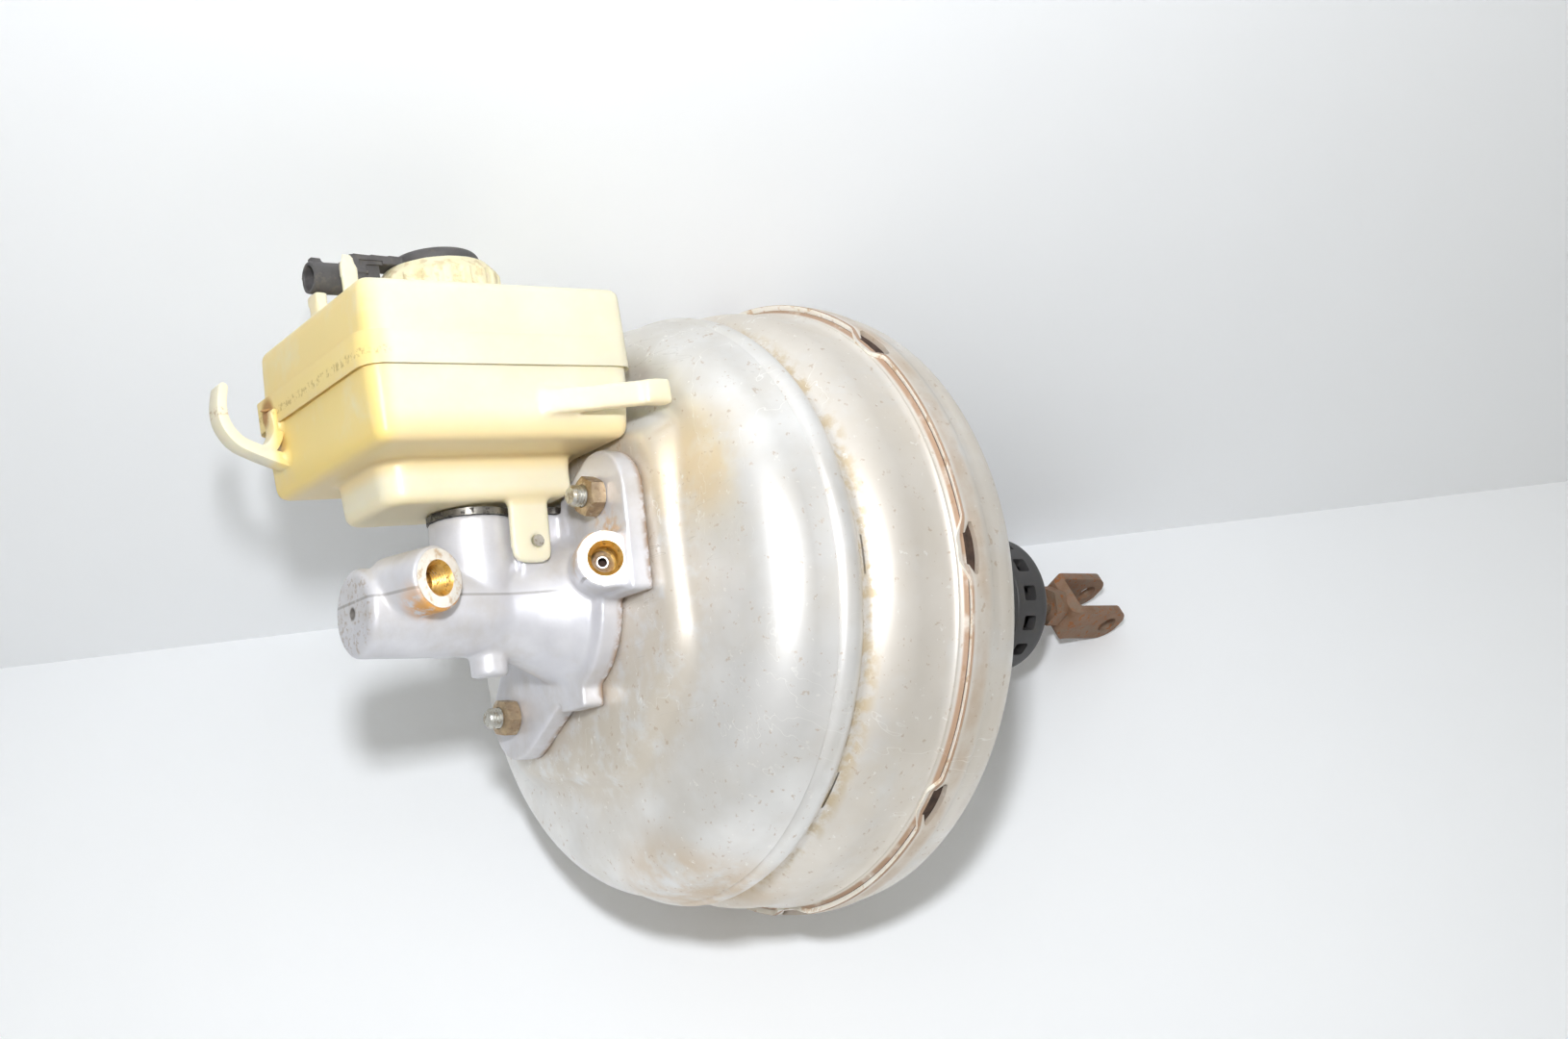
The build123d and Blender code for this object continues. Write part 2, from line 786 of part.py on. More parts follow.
def poppet():
    start = hub_rear - rear_bore_depth + 6.0 + soft_gap
    return ring(start, start + poppet_thickness, rear_bore_radius - seat_gap, socket_radius + soft_gap)


def air_filter():
    start = hub_rear - filter_length - 1.0
    return ring(start, hub_rear - 1.0, rear_bore_radius - seat_gap, filter_inner)


# --- Input rod and fork -----------------------------------------------------------------------

def hang(shape):
    # Let a piece hang with the rod, which turns about its ball
    return Pos(ball_x, 0, 0) * Rot(0, rod_droop, 0) * Pos(-ball_x, 0, 0) * shape


def input_rod():
    body = rod(ball_x, clevis_base_x + fork_plate + 3.0, input_rod_radius)
    body += Pos(ball_x, 0, 0) * Sphere(ball_radius)
    return hang(chamfer(body.faces().sort_by(Axis.X)[-1].edges(), 0.8))


def jam_nut():
    front = clevis_base_x - seat_gap - jam_nut_height
    nut = hexagon(jam_nut_flats, front, front + jam_nut_height, roll=clevis_roll)
    cone = extrude(cross(front + jam_nut_height) * Circle(jam_nut_flats * 0.76), -jam_nut_height, taper=10)
    return hang((nut & cone) - rod(front - 1, clevis_base_x, input_rod_radius + seat_gap))


def fork():
    # U-shaped fork cut from strip: two ears with pin eyes, joined by a base with cropped corners
    span = fork_pitch + fork_plate
    base = Rectangle(fork_width, span)
    base = chamfer(base.vertices(), 4.0)
    body = extrude(cross(clevis_base_x) * base, fork_plate)
    tip = fork_length - fork_width / 2
    ear = Pos(tip / 2, 0) * Rectangle(tip, fork_width) + Pos(tip, 0) * Circle(fork_width / 2)
    ear = ear & Pos(fork_length / 2, 0) * Rectangle(fork_length, fork_width)
    for side in (-1, 1):
        middle = side * fork_pitch / 2
        plane = Plane(origin=(clevis_base_x, 0, middle - fork_plate / 2), x_dir=(1, 0, 0), z_dir=(0, 0, 1))
        body += extrude(plane * ear, fork_plate)
    eyes = Plane(origin=(clevis_base_x + fork_pin_x, 0, -span), z_dir=(0, 0, 1)) * Circle(fork_pin_radius)
    body -= extrude(eyes, 2 * span)
    body -= rod(clevis_base_x - 1, clevis_base_x + fork_plate + 1, input_rod_radius + seat_gap)
    return hang(Rot(-clevis_roll, 0, 0) * body)


def boot():
    # Breather cover over the neck, with a ring of air windows near its end
    outer = rod(boot_start, boot_end, boot_radius)
    outer = fillet(outer.faces().sort_by(Axis.X)[-1].edges(), 4.5)
    outer += ring(boot_end - 0.5, boot_end + boot_step, boot_radius * 0.7, boot_hole)
    inner = rod(boot_start - 1, neck_length + soft_gap, neck_radius + seat_gap)
    inner += rod(boot_start, boot_end - boot_wall, neck_radius - 0.6)
    cover = outer - inner - rod(boot_end - 10, boot_end + 5, boot_hole)
    window = Pos(window_x + window_length / 2, 0, boot_radius) * Box(window_length, window_width, 12)
    for index in range(window_count):
        cover -= Rot((index + 0.5) * 360 / window_count, 0, 0) * window
    return cover


# --- Reservoir --------------------------------------------------------------------------------

def tank_plane(height=0.0):
    # Plane parallel to the tilted weld seam
    turn = math.radians(tilt)
    up = (-math.sin(turn), 0, math.cos(turn))
    origin = (tank_x + up[0] * height, 0, seam_z + up[2] * height)
    return Plane(origin=origin, x_dir=(math.cos(turn), 0, math.sin(turn)), z_dir=up)


def tub(grow):
    # Outline of the tank at the seam
    outline = RectangleRounded(tank_length + 2 * grow, tank_width + 2 * grow, tank_corner + grow)
    return Pos(tank_shift_x, tank_shift_y) * outline


def tank_block(height, inset=0.0):
    # Tapered tub from the seam up or down, with rounded corners
    outline = tub(-inset)
    if height > 0:
        outline += Pos(upper_stretch, 0) * tub(-inset)
    block = extrude(tank_plane() * outline, height, taper=tank_draft)
    return fillet(level_face(block, height).edges(), 4.0)


def level_face(block, height):
    # Face of a block that lies nearest a given height above the seam
    place = tank_plane(height)
    return min(block.faces(), key=lambda face: abs((face.center() - place.origin).dot(place.z_dir)))


def weld_flange(side):
    return extrude(tank_plane() * tub(weld_rim), side * weld_half)


def corner_ear(along, across, side):
    # Small pointed ear of the weld flange beside one corner
    x = tank_shift_x + along * (tank_length / 2 + weld_rim - 4)
    y = tank_shift_y + across * (tank_width / 2 - 14)
    ear = make_face(Polyline((0, -6), (along * 8, 0), (0, 6), close=True))
    return extrude(tank_plane() * Pos(x, y) * ear, side * weld_half)


def sump(inset=0.0):
    outline = RectangleRounded(sump_length - 2 * inset, sump_width - 2 * inset, sump_corner - inset)
    outline -= Pos(sump_notch_x - inset + 10, sump_notch_y + inset - 20) * Rectangle(20, 40)
    rise = sump_depth - lower_height + tank_wall + 6
    place = tank_plane(inset - sump_depth) * Pos(sump_x, 0)
    block = extrude(place * outline, rise, taper=-3)
    return fillet(level_face(block, inset - sump_depth).edges(), 3.5)


def outlets():
    # Axis, socket top, boss radius and socket wall of both outlets
    yield seat_x - outlet_front_x, outlet_front_top, outlet_front_radius, 4.0
    yield seat_x - outlet_rear_x, outlet_rear_top, outlet_rear_radius, 2.6


def ears():
    # Pair of ears that straddle the master cylinder's lug
    x = seat_x - lug_x - 2.0
    low = lug_height - ear_drop
    height = seam_z - sump_depth + 5.0 - low
    for side in (-1, 1):
        y = side * (ear_outer - ear_thickness / 2)
        ear = Pos(x, y, low + height / 2) * Box(ear_width, ear_thickness, height)
        bottom = ear.edges().filter_by(Axis.Y).sort_by(Axis.Z)[0:2]
        yield fillet(bottom, 5.0)


def hose_hook():
    # Open hook on the front face: a floor, an outer arm and a short inner prong
    face = tank_x + tank_shift_x - tank_length / 2
    floor = [(0.55, -23.0), (-6.95, -20.5), (-15.45, -18.0), (-20.95, -10.0), (-19.95, 2.5)]
    prong = [(-6.95, -20.5), (-2.75, -15.5), (-2.15, -6.3)]
    floor, prong = [[(face + x, seam_z + z) for x, z in path] for path in (floor, prong)]
    sketch = chain(floor, hook_bar) + chain(prong, hook_bar * 0.9)
    plane = Plane(origin=(0, hook_y + hook_width / 2, 0), x_dir=(1, 0, 0), z_dir=(0, -1, 0))
    return extrude(plane * sketch, hook_width)


def side_clip():
    # Arm that leaves the near side at a shallow angle and ends in an open jaw
    near = tank_shift_y - tank_width / 2
    end = tank_shift_x + tank_length / 2
    out = near - clip_out + 1.0
    arm = [(end - 35.45, near + 1.5), (end - 7.45, out + 3.0), (end - 0.45, out)]
    jaw = [(end - 0.45, out), (end + 5.15, out)]
    sketch = chain(arm, 2.4) + chain(jaw, 3.6)
    return extrude(tank_plane(clip_rise - lower_height) * sketch, clip_height)


def reservoir_lower():
    body = tank_block(-lower_height) + weld_flange(-1) + sump()
    body += corner_ear(1, -1, -1) + corner_ear(-1, 1, -1)
    body += hose_hook() + side_clip()
    body -= tank_block(-lower_height + tank_wall, tank_wall) + sump(tank_wall)
    for x, top, radius, wall in outlets():
        body += upright(x, 0, top - socket_depth + 3.0, top + 7.0, spigot_radius(radius, wall))
    for x, top, radius, wall in outlets():
        body -= upright(x, 0, top - socket_depth, top + 9.0, spigot_radius(radius, wall) - 1.8)
    for ear in ears():
        body += ear
    pin_hole = Plane(origin=(seat_x - lug_x, 0, lug_height), z_dir=(0, 1, 0)) * Circle(pin_radius + seat_gap)
    return body - extrude(pin_hole, ear_outer + 5, both=True)


def reservoir_upper():
    body = tank_block(upper_height, upper_step) + weld_flange(1)
    body += corner_ear(1, -1, 1) + corner_ear(-1, 1, 1)
    neck = tank_plane(upper_height - 2) * Pos(neck_x, 0)
    body += extrude(neck * Circle(filler_radius), filler_top - upper_height + 2)
    body += plug_cradle()
    body -= tank_block(upper_height - tank_wall, upper_step + tank_wall)
    body -= extrude(tank_plane(upper_height - 8) * Pos(neck_x, 0) * Circle(filler_radius - filler_wall), 40)
    return body - extrude(tank_plane(-1) * Rectangle(200, 200), 1 + seat_gap)


def plug_cradle():
    # Tall pointed prong beside the sensor plug and a short rest under its mouth
    root = upper_height - 3
    section = Pos(-35.0, -connector_radius - 2.2) * Rectangle(6.4, 2.6)
    prong = extrude(tank_plane(root) * section, prong_top - 5.0 - root)
    prong += extrude(tank_plane(prong_top - 5.0) * section, 5.0, taper=12)
    rest_x = connector_x - connector_length / 2 + 2.4
    rest_height = connector_z - connector_radius - soft_gap - root
    rest = extrude(tank_plane(root) * Pos(rest_x, 0) * Rectangle(4.4, 8.0), rest_height)
    return prong + rest


# --- Filler cap -------------------------------------------------------------------------------

def cap_ring(low, high, outer, inner=0.0):
    sketch = Circle(outer) - Circle(inner) if inner else Circle(outer)
    return extrude(tank_plane(low) * Pos(neck_x, 0) * sketch, high - low)


def cap_gasket():
    return cap_ring(filler_top + seat_gap, filler_top + gasket, filler_radius, filler_radius - filler_wall)


def cap_insert():
    # Level sensor: flange under the collar, dome, arm over the collar's edge, plug and stem
    flange_low = filler_top + gasket + seat_gap
    flange_top = flange_low + insert_flange
    bar_low = collar_top + soft_gap
    body = cap_ring(flange_low, flange_top, filler_radius)
    body += cap_ring(flange_top, bar_low, dome_radius - 2.5)
    dome = cap_ring(bar_low, bar_low + dome_height, dome_radius)
    body += fillet(level_face(dome, bar_low + dome_height).edges(), 3.0)
    arm_thickness = dome_height * 0.7
    arm = tank_plane(bar_low) * Pos(-14.0, 0) * Rectangle(30.0, 11.0)
    body += extrude(arm, arm_thickness)
    drop_low = connector_z - connector_radius + 1.5
    drop = tank_plane(drop_low) * Pos(-29.5, 0) * Rectangle(6.0, 11.0)
    body += extrude(drop, bar_low + arm_thickness - drop_low)
    body += plug_barrel(connector_radius)
    key_x = connector_x - connector_length / 2 + 3.4
    body += extrude(tank_plane(connector_z + connector_radius - 1) * Pos(key_x, 0) * Rectangle(4.0, 3.0), 2.6)
    body -= plug_mouth()
    body += cap_ring(stem_bottom, flange_low + 1, stem_radius)
    return body + cap_ring(stem_bottom, stem_bottom + stem_foot, stem_radius + 2.5)


def plug_axis(x):
    turn = math.radians(tilt)
    along = (math.cos(turn), 0, math.sin(turn))
    base = tank_plane(connector_z).origin
    origin = (base.X + along[0] * x, 0, base.Z + along[2] * x)
    return Plane(origin=origin, x_dir=(0, 1, 0), z_dir=along)


def plug_barrel(radius):
    return extrude(plug_axis(connector_x - connector_length / 2) * Circle(radius), connector_length)


def plug_mouth():
    start = plug_axis(connector_x - connector_length / 2 - 1)
    return extrude(start * Circle(connector_radius - connector_wall), connector_length - 3)


def plug_terminals():
    start = plug_axis(connector_x - connector_length / 2 + terminal_setback)
    pins = []
    for side in (-1, 1):
        blade = start * Pos(side * 2.4, 0) * Rectangle(2 * terminal, terminal)
        pins.append(extrude(blade, connector_length - 4 - terminal_setback - seat_gap))
    return pins


def cap_collar():
    skirt_inner = filler_radius + 0.8
    body = cap_ring(collar_low, collar_top - collar_bevel, collar_radius - 0.7)
    slope = tank_plane(collar_top - collar_bevel) * Pos(neck_x, 0) * Circle(collar_radius - 0.7)
    body += extrude(slope, collar_bevel, taper=40)
    rib = tank_plane(collar_low + 1) * Pos(neck_x, 0)
    for index in range(collar_ribs):
        place = rib * Rot(0, 0, index * 360 / collar_ribs) * Pos(collar_radius - 0.9, 0)
        body += extrude(place * Rectangle(1.8, 3.2), collar_top - collar_bevel - collar_low - 2)
    body -= cap_ring(collar_low - 1, collar_top - collar_lip, skirt_inner)
    return body - cap_ring(collar_low, collar_top + 1, dome_radius - 1.0)


def level_float():
    low = stem_bottom + stem_foot + run_gap
    return cap_ring(low, low + float_height, float_radius, stem_radius + soft_gap)


# --- Vacuum connection ------------------------------------------------------------------------

def valve_grommet():
    y, z = valve_place()
    face = valve_seat_x()
    body = rod(face - 3.5, face - seat_gap, valve_hole + 3, y, z)
    body += rod(face - 1, face + sheet + 1, valve_hole - seat_gap, y, z)
    body += rod(face + sheet + seat_gap, face + sheet + 3, valve_hole + 1.5, y, z)
    return body - rod(face - 5, face + 10, 6.5 + seat_gap, y, z)


def check_valve():
    y, z = valve_place()
    face = valve_seat_x() - 3.5 - seat_gap
    tip = face - 12 - nipple_length
    body = rod(face - 12, face, valve_body_radius, y, z)
    body += rod(face - 1, face + 9, 6.5, y, z)
    body += rod(tip, face - 11, nipple_radius, y, z)
    for index in range(3):
        barb = Pos(tip + nipple_land + 2 + index * 5, y, z) * Rot(0, 90, 0)
        body += barb * Cone(nipple_radius, nipple_radius + 0.9, 4)
    return body - rod(tip - 1, face + 12, nipple_bore, y, z)


def write(name, shape):
    solids = shape if isinstance(shape, list) else [shape]
    solids = [solid for item in solids for solid in item.solids()]
    export_step(Compound(children=solids) if len(solids) > 1 else solids[0], f"parts/{name}.step")


pieces = {
    "front_shell": front_shell,
    "rear_shell": rear_shell,
    "partition": partition,
    "partition_seal": partition_seal,
    "neck_seal": neck_seal,
    "front_diaphragm": front_diaphragm,
    "rear_diaphragm": rear_diaphragm,
    "rear_studs": rear_studs,
    "front_studs": front_studs,
    "mounting_nuts": mounting_nuts,
    "master_cylinder": master_cylinder,
    "pilot_ring": pilot_ring,
    "front_grommet": front_grommet,
    "rear_grommet": rear_grommet,
    "reservoir_pin": reservoir_pin,
    "primary_piston": primary_piston,
    "primary_cups": primary_cups,
    "secondary_piston": secondary_piston,
    "secondary_cups": secondary_cups,
    "primary_spring": primary_spring,
    "secondary_spring": secondary_spring,
    "valve_body": valve_body,
    "front_plate": front_plate,
    "rear_plate": rear_plate,
    "output_rod": output_rod,
    "reaction_disc": reaction_disc,
    "return_spring": return_spring,
    "plunger": plunger,
    "poppet": poppet,
    "air_filter": air_filter,
    "input_rod": input_rod,
    "jam_nut": jam_nut,
    "fork": fork,
    "boot": boot,
    "reservoir_lower": reservoir_lower,
    "reservoir_upper": reservoir_upper,
    "cap_gasket": cap_gasket,
    "cap_insert": cap_insert,
    "plug_terminals": plug_terminals,
    "cap_collar": cap_collar,
    "level_float": level_float,
    "valve_grommet": valve_grommet,
    "check_valve": check_valve,
}

for name, build in pieces.items():
    write(name, build())
    print(name)
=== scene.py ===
import json
import math
import bpy
from mathutils import Matrix, Vector, noise


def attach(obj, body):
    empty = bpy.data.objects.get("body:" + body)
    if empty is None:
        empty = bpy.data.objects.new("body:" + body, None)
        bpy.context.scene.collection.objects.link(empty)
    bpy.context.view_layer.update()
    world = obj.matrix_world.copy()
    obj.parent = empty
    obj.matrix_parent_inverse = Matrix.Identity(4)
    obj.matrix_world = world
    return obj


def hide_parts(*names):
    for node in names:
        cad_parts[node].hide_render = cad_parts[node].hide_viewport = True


# Tandem vacuum brake booster with its master cylinder and fluid reservoir. X runs towards the
# brake pedal and Z is up. Lengths are written in millimetres, and mm turns them into metres.

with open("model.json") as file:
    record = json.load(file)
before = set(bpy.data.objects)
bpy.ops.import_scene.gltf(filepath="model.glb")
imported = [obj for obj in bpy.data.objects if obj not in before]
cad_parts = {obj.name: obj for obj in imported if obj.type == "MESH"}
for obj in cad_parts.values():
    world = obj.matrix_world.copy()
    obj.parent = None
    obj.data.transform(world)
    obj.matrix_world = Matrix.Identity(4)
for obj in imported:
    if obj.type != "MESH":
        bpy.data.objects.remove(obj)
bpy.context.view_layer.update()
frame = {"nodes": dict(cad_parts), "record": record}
mm = 0.001
slotOf = {part["node"]: part["material_slot"] for part in frame["record"]["subparts"]}
print("frame loaded:", len(frame["nodes"]), "nodes")


def deselectAll():
    if bpy.context.mode != "OBJECT":
        bpy.ops.object.mode_set(mode="OBJECT")
    bpy.ops.object.select_all(action="DESELECT")


def pick(piece):
    deselectAll()
    piece.select_set(True)
    bpy.context.view_layer.objects.active = piece


deselectAll()


# Materials

def linear(hexColour):
    # sRGB hex to the linear values that a socket takes
    parts = [int(hexColour[i:i + 2], 16) / 255 for i in (1, 3, 5)]
    return tuple(c / 12.92 if c <= 0.04045 else ((c + 0.055) / 1.055) ** 2.4 for c in parts) + (1.0,)


def addNode(tree, kind, values=None):
    # One node. A value sets an attribute or a socket, and a value that is itself a socket is linked
    node = tree.nodes.new(kind)
    for key, value in (values or {}).items():
        if isinstance(value, bpy.types.NodeSocket):
            tree.links.new(value, node.inputs[key])
        elif isinstance(key, str) and hasattr(node, key):
            setattr(node, key, value)
        else:
            node.inputs[key].default_value = value
    return node


def calculated(tree, operation, *values):
    # Math node on numbers or sockets
    return addNode(tree, "ShaderNodeMath", {"operation": operation, **dict(enumerate(values))}).outputs[0]


def onVectors(tree, operation, *values):
    # Vector Math node on vectors or sockets
    node = addNode(tree, "ShaderNodeVectorMath", {"operation": operation, **dict(enumerate(values))})
    return node.outputs["Value" if operation in ("DISTANCE", "DOT_PRODUCT", "LENGTH") else "Vector"]


def ramp(tree, value, low, high, smooth=False, ends=(0.0, 1.0)):
    # Map Range node: value from low to high becomes the first end to the second
    return addNode(tree, "ShaderNodeMapRange", {
        "interpolation_type": "SMOOTHSTEP" if smooth else "LINEAR",
        "From Min": low, "From Max": high, "To Min": ends[0], "To Max": ends[1], "Value": value,
    }).outputs["Result"]


def placeMask(tree, coords, place):
    # 0 at the start of a place and 1 from its end: a ball, a slab along a direction or a tube round X
    kind, where, start, end = place
    centre = [value * mm for value in where]
    if kind == "ball":
        measure = onVectors(tree, "DISTANCE", coords, centre)
    elif kind == "slab":
        measure = onVectors(tree, "DOT_PRODUCT", coords, where)
    else:
        across = onVectors(tree, "MULTIPLY", onVectors(tree, "SUBTRACT", coords, centre), (0, 1, 1))
        measure = onVectors(tree, "LENGTH", across)
    low, high = sorted((start * mm, end * mm))
    return ramp(tree, measure, low, high, True, (0.0, 1.0) if start < end else (1.0, 0.0))


def noiseField(tree, coords, size, seed=0.0, detail=3.0, rough=0.55, stretch=(1, 1, 1), turn=(0, 0, 0)):
    # Noise whose blotches are about size millimetres across
    mapped = addNode(tree, "ShaderNodeMapping", {
        "Rotation": turn, "Scale": stretch, "Location": (seed, -seed, 0.5 * seed), "Vector": coords,
    }).outputs["Vector"]
    return addNode(tree, "ShaderNodeTexNoise", {
        "Scale": 1 / (size * mm), "Detail": detail, "Roughness": rough, "Vector": mapped,
    }).outputs["Fac"]


def mixed(tree, mask, first, second, colour=True):
    # Blend of two colours or two numbers; either may be a socket
    kind, firstKey, secondKey, result = ("RGBA", 6, 7, 2) if colour else ("FLOAT", 2, 3, 0)
    node = addNode(tree, "ShaderNodeMix", {"data_type": kind, 0: mask, firstKey: first, secondKey: second})
    return node.outputs[result]


def layerMask(tree, coords, layer, number):
    # The share of the surface where the layer's noise passes its level, within its places
    field = noiseField(tree, coords, layer["size"], 3.0 + number, layer.get("detail", 4.0), 0.6,
                       layer.get("stretch", (1, 1, 1)), layer.get("turn", (0, 0, 0)))
    level, soft = layer["level"], layer.get("soft", 0.06)
    if "line" in layer:
        # only the contour of the noise, which makes long thin scratches
        away = calculated(tree, "ABSOLUTE", calculated(tree, "SUBTRACT", field, level))
        thin = ramp(tree, away, 0.0, layer["line"], ends=(1.0, 0.0))
        broken = noiseField(tree, coords, layer["size"] * 1.7, 9.0 + number)
        mask = calculated(tree, "MULTIPLY", thin, ramp(tree, broken, 0.5, 0.6))
    else:
        mask = ramp(tree, field, level - soft, level + soft, True)
    for place in layer.get("places", ()):
        mask = calculated(tree, "MULTIPLY", mask, placeMask(tree, coords, place))
    return calculated(tree, "MULTIPLY", mask, layer.get("amount", 1.0))


def madeOf(name, look):
    # Material from a look: two base tones, grain, layers of dirt or wear, scratches and relief
    material = bpy.data.materials.new(name)
    material.use_nodes = True
    tree = material.node_tree
    shader = next(node for node in tree.nodes if node.type == "BSDF_PRINCIPLED")
    coords = addNode(tree, "ShaderNodeTexCoord").outputs["Object"]
    tone = ramp(tree, noiseField(tree, coords, look["size"], 1.0), 0.35, 0.65)
    colour = mixed(tree, tone, linear(look["base"][0]), linear(look["base"][1]))
    rough = mixed(tree, tone, look["rough"][0], look["rough"][1], False)
    metal = look.get("metal", 0.0)
    grain = noiseField(tree, coords, look.get("grain", 0.8), 2.0, 2.0)
    height = calculated(tree, "MULTIPLY", grain, look.get("relief", 0.2))
    for number, layer in enumerate(look.get("layers", ())):
        mask = layerMask(tree, coords, layer, number)
        colour = mixed(tree, mask, colour, linear(layer["colour"]))
        rough = mixed(tree, mask, rough, layer.get("rough", 0.8), False)
        if "metal" in layer:
            metal = mixed(tree, mask, metal, layer["metal"], False)
        if "rise" in layer:
            height = calculated(tree, "MULTIPLY_ADD", mask, layer["rise"], height)
    tree.links.new(colour, shader.inputs["Base Color"])
    tree.links.new(rough, shader.inputs["Roughness"])
    if isinstance(metal, bpy.types.NodeSocket):
        tree.links.new(metal, shader.inputs["Metallic"])
    else:
        shader.inputs["Metallic"].default_value = metal
    for socket, value in look.get("shader", {}).items():
        shader.inputs[socket].default_value = value
    depth = look.get("depth", 0.1) * mm
    bump = addNode(tree, "ShaderNodeBump", {"Strength": 1.0, "Distance": depth, "Height": height})
    tree.links.new(bump.outputs["Normal"], shader.inputs["Normal"])
    return material


